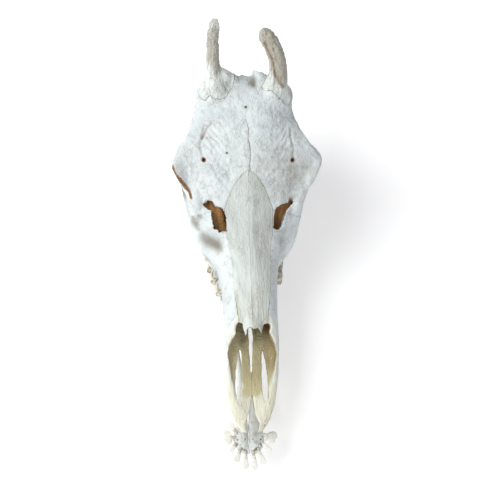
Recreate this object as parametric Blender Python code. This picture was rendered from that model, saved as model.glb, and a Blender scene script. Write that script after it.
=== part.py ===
"""Giraffe skull, life size, resting on its own lower jaw.

Lengths below are in millimetres and are turned into metres as each vertex is made. The first axis
runs across the skull, positive to the animal's left. The second runs back from the tips of the
premaxillae. The third is height above the floor. The finished skull is moved so that the middle of
its footprint stands at the origin.
"""
import math

import bmesh
import bpy
import numpy as np
from mathutils import Matrix, Vector

MM = 0.001
GAP = 0.3
VOXEL = 2.6
CRANIUM_TRIANGLES = 6400
JAW_TRIANGLES = 760

# Curves along the length of the skull: distance behind the snout tip -> value.
ROOF_HEIGHT = {150: 143, 200: 154, 250: 168, 300: 184, 350: 204, 385: 224, 430: 246, 470: 266,
               490: 277, 500: 281, 509: 280, 517: 268, 526: 251, 536: 231, 548: 207, 562: 182}
SNOUT_EDGE = {0: 91, 40: 96, 70: 100, 100: 107, 125: 115, 140: 122, 155: 134, 170: 144, 200: 153,
              250: 167, 300: 182, 350: 201, 400: 228}
FACE_HALF_WIDTH = {0: 14.5, 3: 18, 8: 21.5, 15: 26, 28: 31.5, 45: 36.3, 65: 39.4, 90: 42, 130: 43.5,
                   215: 43, 240: 44.5, 260: 47, 271: 50, 282: 57, 300: 65, 320: 71, 340: 75, 370: 72,
                   388: 60, 402: 54}
FACE_WIDEST = {0: 88, 60: 90, 150: 104, 200: 108, 250: 112, 300: 122, 350: 148, 400: 176}
PALATE_HEIGHT = {0: 85, 40: 82, 120: 80, 230: 80, 360: 80, 388: 84, 396: 104, 402: 130}
SHIELD_HALF_WIDTH = {335: 60, 350: 78, 364: 93, 379: 106, 393: 114, 404: 117, 414: 113, 424: 106,
                     434: 100, 449: 91, 465: 84, 480: 79, 498: 76, 508: 72, 520: 64, 534: 52}
BRAIN_HALF_WIDTH = {385: 40, 420: 42, 450: 50, 490: 59, 512: 65, 530: 65, 545: 58, 558: 40}
BRAIN_FLOOR = {385: 150, 430: 142, 500: 138, 530: 140, 558: 150}
# Sideways drift of the whole skull, which is a little crooked as real ones are.
DRIFT = {0: 1, 47: 3, 100: 5, 240: 6, 270: 4, 300: 2.5, 382: 1, 430: -2, 490: -3, 600: -3}

EYE_CENTRE = (104, 404, 194)
EYE_HALF_LENGTH = 33
EYE_HALF_HEIGHT = 31
LEFT_RIM_FLATTER = 6
RIM_THICK = 6
RIM_WIDE = 7

# The windows in the face go down and back into the nasal cavity.
WINDOW_LEVEL = 185
WINDOW_FLOOR = 124
WINDOW_CEILING = 235
WINDOW_SLANT = 0.466
WINDOW_NARROWING = 0.0022

JAW_PLATE_FOOT = 54
JAW_PLATE_LEAN = 0.078
JAW_PLATE_HALF_THICK = 4
UPPER_ROOT_HEIGHT = 100
LOWER_ROOT_HEIGHT = 30
WORN_BASIN_DEPTH = 2.2
TOOTH_RIB = 1.15
ROOF_PLAY = 3

UPPER_TEETH = (("P2", 20, 22), ("P3", 20, 25), ("P4", 20, 27), ("M1", 27, 29), ("M2", 29, 31), ("M3", 29, 30))
LOWER_TEETH = (("p2", 19, 13), ("p3", 22, 15), ("p4", 23, 17), ("m1", 27, 19), ("m2", 29, 20), ("m3", 35, 20))
UPPER_ROW_START = 239
LOWER_ROW_START = 238
UPPER_ROW_LINE = {239: 33, 270: 38.5, 300: 45, 345: 48, 385: 47}
LOWER_ROW_LINE = {238: 33, 300: 41, 350: 46, 395: 49}
BITE_HEIGHT = 63
# Three incisors and the two lobes of the canine: name, root, tip, half width at the tip.
FRONT_TEETH = (("i1", (4, -14, 43), (7, -50, 58), 5.6), ("i2", (9, -10, 43), (21, -38, 57), 5.8),
               ("i3", (14, -4, 43), (31.5, -19.5, 55), 5.6), ("c1", (17, 0, 42), (38, -3, 54), 6.6),
               ("c2", (18, 10, 41), (37, 13, 53), 7.0))

# Linear colour and roughness of each kind of bone.
FINISHES = {
    "cranium": ((0.74, 0.79, 0.82), 0.62),
    "nasal": ((0.62, 0.66, 0.63), 0.62),
    "maxilla": ((0.66, 0.68, 0.68), 0.62),
    "premaxilla": ((0.60, 0.57, 0.46), 0.6),
    "ossicone": ((0.40, 0.39, 0.34), 0.75),
    "mandible": ((0.72, 0.73, 0.72), 0.58),
}
SHARP_FROM = math.radians(38)


def clear_scene():
    for item in list(bpy.data.objects):
        bpy.data.objects.remove(item, do_unlink=True)


def along(stations, at):
    """Value of a curve at a distance, by monotone cubic pieces through its stations."""
    x = np.array(sorted(stations), float)
    y = np.array([stations[k] for k in sorted(stations)], float)
    h = np.diff(x)
    slope = np.diff(y) / h
    tangent = np.empty(len(x))
    tangent[0], tangent[-1] = slope[0], slope[-1]
    for i in range(1, len(x) - 1):
        same_way = slope[i - 1] * slope[i] > 0
        tangent[i] = 2 * slope[i - 1] * slope[i] / (slope[i - 1] + slope[i]) if same_way else 0
    at = min(max(at, x[0]), x[-1])
    i = min(int(np.searchsorted(x, at, side="right")) - 1, len(h) - 1)
    t = (at - x[i]) / h[i]
    return float((1 + 2 * t) * (1 - t) ** 2 * y[i] + t * (1 - t) ** 2 * h[i] * tangent[i]
                 + t * t * (3 - 2 * t) * y[i + 1] + t * t * (t - 1) * h[i] * tangent[i + 1])


def spot(point):
    """Where a point of the straight skull lies, in metres, with the drift added."""
    return Vector((point[0] + along(DRIFT, point[1]), point[1], point[2])) * MM


def add_object(name, bm):
    """Object made from an edit mesh whose faces are turned outwards."""
    bmesh.ops.recalc_face_normals(bm, faces=bm.faces)
    mesh = bpy.data.meshes.new(name)
    bm.to_mesh(mesh)
    bm.free()
    item = bpy.data.objects.new(name, mesh)
    bpy.context.scene.collection.objects.link(item)
    return item


def loft(name, rings):
    """Closed body whose skin runs through rings of points, all with the same count."""
    bm = bmesh.new()
    loops = [[bm.verts.new(spot(p)) for p in ring] for ring in rings]
    count = len(loops[0])
    for near, far in zip(loops, loops[1:]):
        for i in range(count):
            j = (i + 1) % count
            bm.faces.new((near[i], near[j], far[j], far[i]))
    bm.faces.new(loops[0])
    bm.faces.new(list(reversed(loops[-1])))
    return add_object(name, bm)


def oval(half_width, middle, top, bottom, upper, lower, s, count=40):
    """Cross-section ring: squared or pinched oval, its upper and lower halves shaped apart."""
    ring = []
    for k in range(count):
        a = 2 * math.pi * k / count
        power = upper if math.sin(a) >= 0 else lower
        x = math.copysign(abs(math.cos(a)) ** (2 / power), math.cos(a)) * half_width
        rise = abs(math.sin(a)) ** (2 / power)
        z = middle + rise * (top - middle) if math.sin(a) >= 0 else middle - rise * (middle - bottom)
        ring.append((x, s, z))
    return ring


def smooth_path(points, steps):
    """Points along a Catmull-Rom curve through the given rows of numbers."""
    rows = [np.array(p, float) for p in points]
    rows = [2 * rows[0] - rows[1]] + rows + [2 * rows[-1] - rows[-2]]
    out = []
    for a, b, c, d in zip(rows, rows[1:], rows[2:], rows[3:]):
        for k in range(steps):
            t = k / steps
            out.append(0.5 * (2 * b + (c - a) * t + (2 * a - 5 * b + 4 * c - d) * t * t
                              + (3 * b - a - 3 * c + d) * t ** 3))
    return out + [rows[-2]]


def bar(name, points, steps=4, sides=14, wide_axis=(1, 0, 0)):
    """Rounded bar along a path of (x, y, z, half size along wide_axis, half size across it)."""
    rows = smooth_path(points, steps)
    rings = []
    for i, row in enumerate(rows):
        ahead = rows[min(i + 1, len(rows) - 1)][:3] - rows[max(i - 1, 0)][:3]
        forward = Vector(ahead).normalized()
        wide = Vector(wide_axis) - forward * Vector(wide_axis).dot(forward)
        wide.normalize()
        tall = forward.cross(wide)
        turns = [2 * math.pi * k / sides for k in range(sides)]
        rings.append([Vector(row[:3]) + wide * (math.cos(a) * row[3]) + tall * (math.sin(a) * row[4])
                      for a in turns])
    return loft(name, rings)


def blob(name, centre, size, turn=(0, 0, 0)):
    """Ellipsoid with half sizes along its own axes."""
    bm = bmesh.new()
    bmesh.ops.create_uvsphere(bm, u_segments=20, v_segments=12, radius=1)
    about_x, about_y, about_z = (Matrix.Rotation(math.radians(a), 4, axis) for a, axis in zip(turn, "XYZ"))
    spin = about_z @ about_y @ about_x
    bm.transform(Matrix.Translation(Vector(centre)) @ spin @ Matrix.Diagonal((*size, 1)))
    for vertex in bm.verts:
        vertex.co = spot(vertex.co)
    return add_object(name, bm)


def grown(outline, by):
    """Outline moved outwards by a distance, corner by corner."""
    corners = [Vector(p) for p in outline]
    area = sum(a.x * b.y - a.y * b.x for a, b in zip(corners, corners[1:] + corners[:1]))
    side = 1 if area > 0 else -1
    moved = []
    for i, corner in enumerate(corners):
        before = (corner - corners[i - 1]).normalized()
        after = (corners[(i + 1) % len(corners)] - corner).normalized()
        n1 = Vector((before.y, -before.x)) * side
        n2 = Vector((after.y, -after.x)) * side
        middle = (n1 + n2).normalized()
        moved.append(corner + middle * (by / max(middle.dot(n1), 0.4)))
    return moved


def plan_prism(name, outline, floor, ceiling, grow=0.0):
    """Upright prism over an outline seen from above; floor is a height or a function."""
    low = floor if callable(floor) else (lambda x, y: floor)
    pts = grown(outline, grow)
    return loft(name, [[(p.x, p.y, low(p.x, p.y) - grow) for p in pts], [(p.x, p.y, ceiling) for p in pts]])


def side_prism(name, outline, half_width, grow=0.0):
    """Prism across the skull over an outline seen from the side, given as (y, z) corners."""
    pts = grown(outline, grow)
    return loft(name, [[(-half_width, p.x, p.y) for p in pts], [(half_width, p.x, p.y) for p in pts]])


def mirrored(maker, name, *args, **kwargs):
    """The same piece on both sides of the skull's own middle line."""
    left = maker(name + "_l", *args, **kwargs)
    right = duplicate(left, name + "_r")
    for vertex in right.data.vertices:
        middle = along(DRIFT, vertex.co.y / MM) * MM
        vertex.co.x = 2 * middle - vertex.co.x
    right.data.flip_normals()
    return [left, right]


def apply_modifiers(item):
    graph = bpy.context.evaluated_depsgraph_get()
    mesh = bpy.data.meshes.new_from_object(item.evaluated_get(graph))
    item.modifiers.clear()
    old = item.data
    item.data = mesh
    bpy.data.meshes.remove(old)
    return item


def drop(items):
    for item in items:
        bpy.data.objects.remove(item, do_unlink=True)


def combine(item, others, operation):
    """Boolean of one object with a list of others, which are used up."""
    holder = bpy.data.collections.new("boolean_parts")
    bpy.context.scene.collection.children.link(holder)
    for other in others:
        other.hide_render = True
        other.display_type = "WIRE"
        bpy.context.scene.collection.objects.unlink(other)
        holder.objects.link(other)
    step = item.modifiers.new("combine", "BOOLEAN")
    step.operation = operation
    step.operand_type = "COLLECTION"
    step.collection = holder
    step.solver = "EXACT"
    step.use_self = False
    apply_modifiers(item)
    drop(others)
    bpy.data.collections.remove(holder)
    return item


def cut_each(item, cutters):
    """Difference with one cutter at a time."""
    for cutter in cutters:
        step = item.modifiers.new("cut", "BOOLEAN")
        step.operation = "DIFFERENCE"
        step.object = cutter
        step.solver = "EXACT"
        cutter.hide_render = True
        apply_modifiers(item)
    drop(cutters)
    return item


def resurface(item, voxel, smoothing, rounds):
    """One even skin over everything, its hard edges eased."""
    skin = item.modifiers.new("skin", "REMESH")
    skin.mode = "VOXEL"
    skin.voxel_size = voxel * MM
    ease = item.modifiers.new("ease", "SMOOTH")
    ease.factor = smoothing
    ease.iterations = rounds
    return apply_modifiers(item)


def thin_out(item, triangles):
    """Fewer triangles over the same form."""
    item.modifiers.new("triangles", "TRIANGULATE")
    apply_modifiers(item)
    fewer = item.modifiers.new("fewer", "DECIMATE")
    fewer.ratio = min(1.0, triangles / len(item.data.polygons))
    return apply_modifiers(item)


def keep_largest(item):
    """Only the biggest closed surface stays, with doubled points welded and flat slivers gone."""
    bm = bmesh.new()
    bm.from_mesh(item.data)
    bmesh.ops.remove_doubles(bm, verts=bm.verts, dist=0.00001)
    bmesh.ops.dissolve_degenerate(bm, edges=bm.edges, dist=0.00001)
    bmesh.ops.triangulate(bm, faces=bm.faces)
    groups = []
    unseen = set(bm.faces)
    while unseen:
        stack = [unseen.pop()]
        group = list(stack)
        while stack:
            for edge in stack.pop().edges:
                for face in edge.link_faces:
                    if face in unseen:
                        unseen.remove(face)
                        stack.append(face)
                        group.append(face)
        groups.append(group)
    groups.sort(key=lambda g: -sum(f.calc_area() for f in g))
    loose = [face for group in groups[1:] for face in group]
    bmesh.ops.delete(bm, geom=loose, context="FACES")
    bmesh.ops.delete(bm, geom=[v for v in bm.verts if not v.link_faces], context="VERTS")
    bmesh.ops.recalc_face_normals(bm, faces=bm.faces)
    bm.to_mesh(item.data)
    bm.free()
    return item


def duplicate(item, name):
    twin = item.copy()
    twin.data = item.data.copy()
    twin.name = name
    bpy.context.scene.collection.objects.link(twin)
    return twin


def part_off(item, name, make_region):
    """Cut a bone off along a thin gap. Returns the bone; what is left stays in item."""
    piece = duplicate(item, name)
    combine(piece, [make_region(-GAP / 2)], "INTERSECT")
    combine(item, [make_region(GAP / 2)], "DIFFERENCE")
    return piece


# Face, braincase and the broad frontal shield.

def face_body():
    stops = [0, 3, 8, 15, 28, 45, 65, 90, 120, 140, 155, 170, 190, 210, 230, 250, 270, 290, 310, 330, 350,
             365, 380, 388, 394, 402]
    rings = []
    for s in stops:
        upper = along({0: 3.2, 140: 3.2, 170: 2.4, 230: 2.4, 280: 2.7, 330: 3.2, 402: 3.4}, s)
        lower = along({0: 2.4, 120: 3.0, 230: 3.4, 260: 2.6, 310: 2.6, 350: 3.4, 388: 4.0, 402: 2.2}, s)
        rings.append(oval(along(FACE_HALF_WIDTH, s), along(FACE_WIDEST, s), along(SNOUT_EDGE, s),
                          along(PALATE_HEIGHT, s), upper, lower, s))
    return loft("face", rings)


def braincase():
    stops = [385, 400, 425, 450, 475, 495, 510, 522, 534, 544, 552, 558]
    rings = []
    for s in stops:
        top = along(ROOF_HEIGHT, s) - ROOF_PLAY
        floor = along(BRAIN_FLOOR, s)
        rings.append(oval(along(BRAIN_HALF_WIDTH, s), floor + 0.42 * (top - floor), top, floor, 2.2, 2.1, s))
    return loft("braincase", rings)


def frontal_shield():
    """Broad plate of the frontals and parietals, arched across and running out over the eyes."""
    rings = []
    for s in [335, 345, 355, 365, 375, 385, 395, 404, 412, 422, 434, 450, 470, 485, 495, 503, 511, 519, 528]:
        top = along(ROOF_HEIGHT, s)
        edge = along({335: 26, 370: 13, 400: 5, 430: 10, 460: 24, 485: 32, 540: 44}, s)
        thick = along({335: 10, 400: 9, 450: 14, 528: 20}, s)
        width = along(SHIELD_HALF_WIDTH, s)
        ring = []
        half = 14
        for k in range(half + 1):
            f = 1 - 2 * k / half
            ring.append((f * width, s, top - edge * abs(f) ** 2.3))
        for k in range(half + 1):
            f = -1 + 2 * k / half
            ring.append((f * (width - 2), s, top - edge * abs(f) ** 2.3 - thick))
        rings.append(ring)
    return loft("shield", rings)


def nasal_roof():
    rings = []
    for s in [140, 148, 155, 165, 180, 200, 230, 260, 290, 320, 350, 385]:
        width = along({140: 13, 155: 17, 165: 20, 180: 23, 200: 26, 250: 31, 320: 38, 350: 32, 385: 16}, s)
        top = along(ROOF_HEIGHT, s)
        drop_off = along({140: 12, 160: 11, 180: 9, 250: 10, 320: 11, 385: 3}, s)
        thick = along({148: 3, 180: 5, 385: 7}, s)
        over = [(f / 6 * width, s, top - drop_off * abs(f / 6) ** 1.6) for f in range(6, -7, -1)]
        under = [(f / 6 * (width - 1), s, top - drop_off * abs(f / 6) ** 1.6 - thick) for f in range(-6, 7)]
        rings.append(over + under)
    return loft("nasal_roof", rings)


def eye_rim(name, side):
    """Closed ring of bone around the eye, leaning out over the socket. The left one is flatter in front."""
    x, y, z = EYE_CENTRE
    centre = Vector(EYE_CENTRE)
    steps, sides = 16, 10
    loops = []
    bm = bmesh.new()
    for k in range(steps):
        a = 2 * math.pi * k / steps
        out = 9 * max(0, math.cos(a)) - 8 * max(0, -math.cos(a)) - 5 * abs(math.sin(a))
        out -= LEFT_RIM_FLATTER * max(0, math.sin(a)) if side > 0 else 0
        p = Vector((x + out, y - EYE_HALF_LENGTH * math.sin(a), z + EYE_HALF_HEIGHT * math.cos(a)))
        outward = (p - centre).normalized()
        ring = []
        for j in range(sides):
            t = 2 * math.pi * j / sides
            round_bone = outward * RIM_THICK * math.cos(t) + Vector((RIM_WIDE * math.sin(t), 0, 0))
            ring.append(bm.verts.new(spot(p + round_bone)))
        loops.append(ring)
    for near, far in zip(loops, loops[1:] + loops[:1]):
        for j in range(sides):
            bm.faces.new((near[j], near[(j + 1) % sides], far[(j + 1) % sides], far[j]))
    return add_object(name, bm)


def side_bones():
    """Pieces that stand on both sides: lacrimal, jugal arch, jaw joint, occiput and base."""
    made = []
    left_rim, spare = mirrored(eye_rim, "eye_rim", 1)
    drop([spare])
    spare, right_rim = mirrored(eye_rim, "eye_rim", -1)
    drop([spare])
    made += [left_rim, right_rim]
    made += mirrored(bar, "lacrimal", [(66, 322, 136, 6, 12), (74, 346, 148, 8, 20), (79, 364, 166, 14, 26),
                                       (86, 380, 180, 15, 30)])
    made += mirrored(bar, "arch", [(42, 266, 110, 4, 8), (52, 284, 113, 8.5, 13), (66, 308, 119, 12.5, 22),
                                   (78, 346, 136, 13, 23), (90, 380, 150, 9, 16), (96, 412, 160, 7, 12),
                                   (93, 440, 168, 5, 9), (86, 466, 175, 5, 8), (77, 488, 181, 7, 9),
                                   (63, 508, 187, 13, 11)])
    made += mirrored(bar, "behind_eye", [(102, 430, 222, 6, 8), (100, 441, 196, 5, 8), (97, 438, 168, 6, 9)])
    temple_root = [(50, 494, 190, 14, 12), (66, 502, 185, 15, 9), (78, 504, 181, 12, 6)]
    made += mirrored(bar, "temple_root", temple_root, wide_axis=(0, 1, 0))
    made += mirrored(bar, "nuchal_crest", [(0, 527, 232, 6, 5), (26, 530, 226, 6, 5), (48, 533, 212, 6, 6),
                                           (63, 533, 190, 6, 7), (65, 530, 162, 9, 9)], wide_axis=(0, 1, 0))
    paroccipital = [(60, 532, 168, 9, 12), (54, 539, 142, 6, 10), (48, 544, 112, 3, 6)]
    made += mirrored(bar, "paroccipital", paroccipital)
    made += mirrored(blob, "condyle", (21, 560, 160), (13, 13, 19), (0, 12, -25))
    made += mirrored(blob, "bulla", (33, 514, 138), (12, 18, 15), (0, 0, 15))
    pterygoid = [(22, 372, 92, 3.5, 13), (24, 400, 106, 3, 18), (25, 430, 122, 3.5, 18),
                 (24, 452, 136, 5, 12)]
    made += mirrored(bar, "pterygoid", pterygoid)
    orbit_floor = [(60, 352, 130, 14, 12), (52, 386, 142, 12, 14), (40, 420, 154, 12, 16)]
    made += mirrored(bar, "orbit_floor", orbit_floor)
    made.append(bar("base", [(0, 405, 146, 14, 9), (0, 460, 140, 13, 9), (0, 510, 142, 17, 10),
                             (0, 556, 149, 22, 11)]))
    made += mirrored(blob, "horn_seat", (46, 502, 255), (33, 29, 22), (22, 16, 0))
    made += mirrored(bar, "turbinate", [(27, 186, 112, 7, 8), (30, 240, 118, 10, 13), (36, 290, 130, 14, 17),
                                        (36, 330, 142, 16, 20), (30, 366, 150, 14, 18)])
    made.append(bar("vomer", [(0, 150, 88, 3, 9), (0, 220, 94, 3, 16), (0, 300, 106, 3, 24),
                              (0, 372, 124, 4, 30)]))
    made.append(blob("saddle_boss", (21, 519, 280), (12, 10, 13.5)))
    made.append(bar("horn_web", [(-48, 522, 292, 10, 9), (-36, 521, 288, 10, 9), (-24, 519, 281, 9, 8),
                                 (-8, 515, 271, 9, 8)], wide_axis=(0, 1, 0)))
    made.append(ossicone("horn_l", 1))
    made.append(ossicone("horn_r", -1))
    return made


def cavity_cutters():
    made = []
    stops = [-8, 20, 60, 100, 125, 140, 150, 158, 168, 190, 230, 260, 290, 320, 345, 365]
    rings = []
    for s in stops:
        width = along({-8: 2, 20: 14, 47: 24, 84: 32, 100: 34, 125: 37.5, 140: 33.5, 150: 30, 158: 30,
                       175: 34, 215: 34, 260: 37, 300: 49, 330: 59, 345: 54, 365: 28}, s)
        top = 190 if s <= 150 else along({158: 150, 168: 139, 190: 145, 250: 161, 300: 176, 345: 194,
                                          365: 200}, s)
        floor = along({-8: 96, 60: 92, 100: 89, 300: 90, 345: 98, 365: 106}, s)
        power = along({-8: 6, 125: 6, 140: 1.7, 150: 1.12, 158: 2.4, 365: 2.4}, s)
        middle = along({-8: 97, 100: 100, 200: 108, 300: 124, 365: 150}, s)
        rings.append(oval(width, middle, top, floor, power, 3.2, s, count=28))
    made.append(loft("nasal_cavity", rings))
    made.append(bar("choana", [(0, 330, 112, 26, 18), (0, 365, 114, 20, 17), (0, 412, 112, 19, 17)]))
    notch = [(-15, 362), (-8, 352), (8, 352), (15, 362), (19, 385), (20, 420), (-20, 420), (-19, 385)]
    made.append(plan_prism("palate_notch", notch, 60, 116))
    return made


def opening_cutters():
    made = []
    eye_hole = [(136, 399, 190, 27, 25), (108, 403, 192, 27, 25), (84, 406, 193, 23, 22),
                (56, 412, 192, 12, 12)]
    made += mirrored(bar, "eye_hole", eye_hole, wide_axis=(0, 1, 0), sides=20)
    temple = [(78, 462, 212, 9, 18), (77, 464, 196, 11, 22), (76, 466, 160, 12, 24), (74, 468, 120, 13, 24)]
    made += mirrored(bar, "temple_window", temple, sides=16)
    made.append(bar("brain_hole", [(0, 600, 172, 18, 17), (0, 562, 175, 16, 15), (0, 518, 180, 15, 13)],
                    sides=16))
    between_tips = [(-12, 120), (-11, 140), (-8, 153), (-3, 154), (0, 149), (4, 153), (9, 151), (12, 142),
                    (13, 120)]
    made.append(plan_prism("nasal_notch", between_tips, 122, 200))
    made += mirrored(bar, "cheek_foramen", [(34, 246, 106, 4, 4), (56, 226, 102, 5, 5)], sides=8)
    return made


def slit_cutters():
    """Slits through the palate beside the middle line, which differ, and the gaps between the two sides."""
    left = [(21.6, 45.5), (25.8, 56), (26.4, 74), (25.6, 95), (23.4, 117), (21, 134), (19.2, 145),
            (17.4, 126), (16.2, 104), (15.8, 79), (17.4, 57)]
    right = [(-19.5, 42), (-23, 50), (-25.2, 62), (-25.6, 80), (-24.5, 104), (-20.6, 127), (-16, 147),
             (-14.2, 134), (-14.2, 112), (-14.4, 87), (-16, 63), (-17.5, 50)]
    middle = [(0, 90), (1.6, 103), (3.2, 123), (4.6, 145), (5.2, 165), (4, 178), (-2, 178), (-2.6, 165),
              (-2.4, 145), (-2, 120), (-1.6, 101)]
    front = [(0.3, 64), (2.4, 52), (2.8, 42), (5, 33), (9, 22.5), (12.8, 15.5), (11, 8.5), (9, 1.6),
             (8.6, -8), (-7.2, -8), (-7.4, 1), (-9.4, 4.5), (-12.4, 12), (-10.8, 17), (-7.4, 24.5),
             (-4.7, 33), (-2.8, 42), (-2.2, 52)]
    outlines = {"slit_l": left, "slit_r": right, "mid_slit": middle, "front_notch": front}
    return [plan_prism(name, outline, 60, 122) for name, outline in outlines.items()]


def slanted_prism(name, outline):
    """Prism that leans back and towards the middle as it goes down, with its outline at the window level."""
    rings = []
    for z in (WINDOW_FLOOR, WINDOW_CEILING):
        down = WINDOW_LEVEL - z
        inwards = 1 - WINDOW_NARROWING * down
        rings.append([(x * inwards, s + WINDOW_SLANT * down, z) for x, s in outline])
    return loft(name, rings)


def window_cutters():
    """Openings through the face between nasal, frontal and maxilla, with broken edges."""
    right = [(-72, 345), (-65, 353), (-57, 353), (-52, 341), (-49, 344), (-45, 340), (-39, 338), (-35, 318),
             (-36, 297), (-49, 297), (-51, 302), (-57, 300), (-59, 330), (-59, 335), (-70, 341)]
    left = [(38, 305), (39, 324), (42, 339), (52, 347), (60, 350), (63, 347), (64, 358), (72, 355), (75, 349),
            (67, 342), (62, 333), (58, 319), (55, 306), (49, 301), (45, 301)]
    return [slanted_prism("window_r", right), slanted_prism("window_l", left)]


def build_head():
    head = face_body()
    cut_each(head, cavity_cutters())
    combine(head, [braincase(), frontal_shield(), nasal_roof()] + side_bones(), "UNION")
    resurface(head, VOXEL, 0.5, 1)
    cut_each(head, opening_cutters())
    keep_largest(head)
    resurface(head, VOXEL, 0.5, 4)
    cut_each(head, slit_cutters() + window_cutters())
    return keep_largest(head)


def ossicone(name, side):
    """Horn core: flared foot, slim shaft, rough rounded tip. The two differ."""
    if side < 0:
        path = [(-47, 498, 260, 25, 20), (-50, 507, 275, 19, 16), (-53, 519, 290, 13.5, 12.5),
                (-54.5, 540, 313, 10.5, 10), (-55, 560, 334, 10, 9.5), (-54, 574, 348, 8.5, 7.5),
                (-53, 580, 354, 4, 3.5)]
    else:
        path = [(43, 498, 260, 25, 20), (47, 507, 275, 20, 17), (50, 519, 290, 15.5, 13),
                (47, 536, 309, 14, 12), (37, 551, 325, 14, 11.5), (26, 563, 338, 12.5, 10),
                (19, 569, 344, 6, 5)]
    return bar(name, path, steps=4, sides=16)


def tooth_lobe(name, centre, half_long, half_wide, root, crown, side):
    """One pillar of a cheek tooth, ribbed on its cheek side, with a worn basin on top."""
    x, y = centre
    rings = []
    drop_in = WORN_BASIN_DEPTH if crown < root else -WORN_BASIN_DEPTH
    for z, size, ribbed in ((root, 0.9, True), (crown, 1.0, True), (crown + drop_in, 0.5, False)):
        ring = []
        for k in range(8):
            a = 2 * math.pi * (k + 0.5) / 8
            across = math.copysign(abs(math.cos(a)) ** 0.4, math.cos(a))
            lengthwise = math.copysign(abs(math.sin(a)) ** 0.3, math.sin(a))
            rib = TOOTH_RIB if ribbed and k in (7, 0) else 1.0
            ring.append((x + side * half_wide * size * rib * across, y + half_long * size * lengthwise, z))
        rings.append(ring)
    return loft(name, rings)


def tooth_row(teeth, start, line, side, root, crown):
    made = []
    y = start
    for name, length, width in teeth:
        lobes = 1 if name[0] in "Pp" else 3 if name == "m3" else 2
        sizes = (0.4, 0.4, 0.2) if lobes == 3 else (1 / lobes,) * lobes
        at = y
        for share in sizes:
            half = length * share / 2
            centre = (side * along(line, at + half), at + half)
            slim = 0.7 if share < 0.3 else 1.0
            made.append(tooth_lobe(name, centre, half + 0.7, width / 2 * slim, root, crown, side))
            at += length * share
        y += length + 0.6
    return made


def incisor(name, side, root, tip, wide):
    """Spade-shaped front tooth on a thin neck."""
    r, t = Vector(root), Vector(tip)
    way = t - r
    across = Vector((way.y, -way.x, 0)).normalized()
    path = [(*(r + way * f), w, d) for f, w, d in
            ((0, 2.7, 2.8), (0.45, 2.9, 2.8), (0.85, wide, 2.2), (1.0, wide * 0.85, 0.9))]
    path = [(side * p[0], *p[1:]) for p in path]
    return bar(name, path, steps=1, sides=8, wide_axis=(side * across.x, across.y, 0))


def on_side(side, stations):
    """Stations written for the left, carried to either side."""
    return [(side * across, *rest) for across, *rest in stations]


def jaw_half(side):
    name = "mandible_left" if side > 0 else "mandible_right"
    ramus = [(7, -31, 47, 6.5, 3.5), (10, -22, 45, 9.5, 5), (12.5, -6, 41, 12, 7), (13, 10, 37, 12.5, 8.5),
             (9.5, 40, 32, 9, 11.5), (10.5, 78, 34, 7.5, 12), (14, 120, 38, 6, 12), (20, 175, 39, 6, 13),
             (27, 222, 33, 7.5, 18), (36, 262, 27, 9, 22.5), (42, 310, 24.5, 10, 24.5),
             (47, 360, 25, 10, 25), (52, 400, 27, 9, 27), (57, 438, 33, 6, 33)]
    body = bar(name, on_side(side, ramus), sides=16)
    blade = [(404, 8), (412, 49), (430, 64), (444, 92), (455, 130), (461, 166), (464, 196), (470, 213),
             (479, 213), (481, 196), (482, 178), (494, 165), (508, 161), (512, 148), (514, 118), (520, 84),
             (520, 50), (508, 22), (490, 7), (466, 1), (440, 0)]
    faces = (-JAW_PLATE_HALF_THICK, JAW_PLATE_HALF_THICK)
    plate = loft("blade", [[(side * (JAW_PLATE_FOOT + JAW_PLATE_LEAN * z + across), y, z) for y, z in blade]
                           for across in faces])
    condyle = [(61, 501, 162, 5, 5.5), (68, 502, 163.5, 7, 6), (77, 503, 162, 6, 5.5)]
    head_bar = bar("head_bar", on_side(side, condyle), wide_axis=(0, 1, 0))
    combine(body, [plate, head_bar], "UNION")
    resurface(body, VOXEL, 0.5, 3)
    keep_largest(body)
    thin_out(body, JAW_TRIANGLES)
    teeth = tooth_row(LOWER_TEETH, LOWER_ROW_START, LOWER_ROW_LINE, side, LOWER_ROOT_HEIGHT,
                      BITE_HEIGHT - GAP)
    for name, root, tip, wide in FRONT_TEETH:
        teeth.append(incisor(name, side, root, tip, wide))
    combine(body, teeth, "UNION")
    return keep_largest(body)


def nasal_region(side):
    outline = on_side(side, [(0, 386), (10, 381), (25, 363), (32, 349), (38, 334), (37, 300), (34, 285),
                             (31, 250), (28, 210), (24, 180), (22, 160), (22, 120), (0, 120)])
    return lambda grow: plan_prism("region", outline, lambda x, y: 123 + (y - 150) * 0.345, 320, grow)


def horn_region(side):
    """Scalloped seam around the foot of a horn."""
    if side < 0:
        outline = [(-76, 508), (-71, 494), (-64, 486), (-58, 490), (-51, 485), (-42, 485), (-32, 488),
                   (-28, 496), (-22, 503), (-19, 515), (-20, 560), (-30, 600), (-80, 600), (-80, 530)]
    else:
        outline = [(72, 508), (72, 492), (67, 484), (60, 485), (49, 488), (39, 495), (29, 497), (24, 505),
                   (31, 515), (31, 535), (4, 556), (4, 600), (80, 600), (80, 530)]

    def seat(x, y):
        return 261 + (y - 490) * 0.3 - (abs(x) - 45) * 0.3

    return lambda grow: plan_prism("region", outline, seat, 420, grow)


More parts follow.
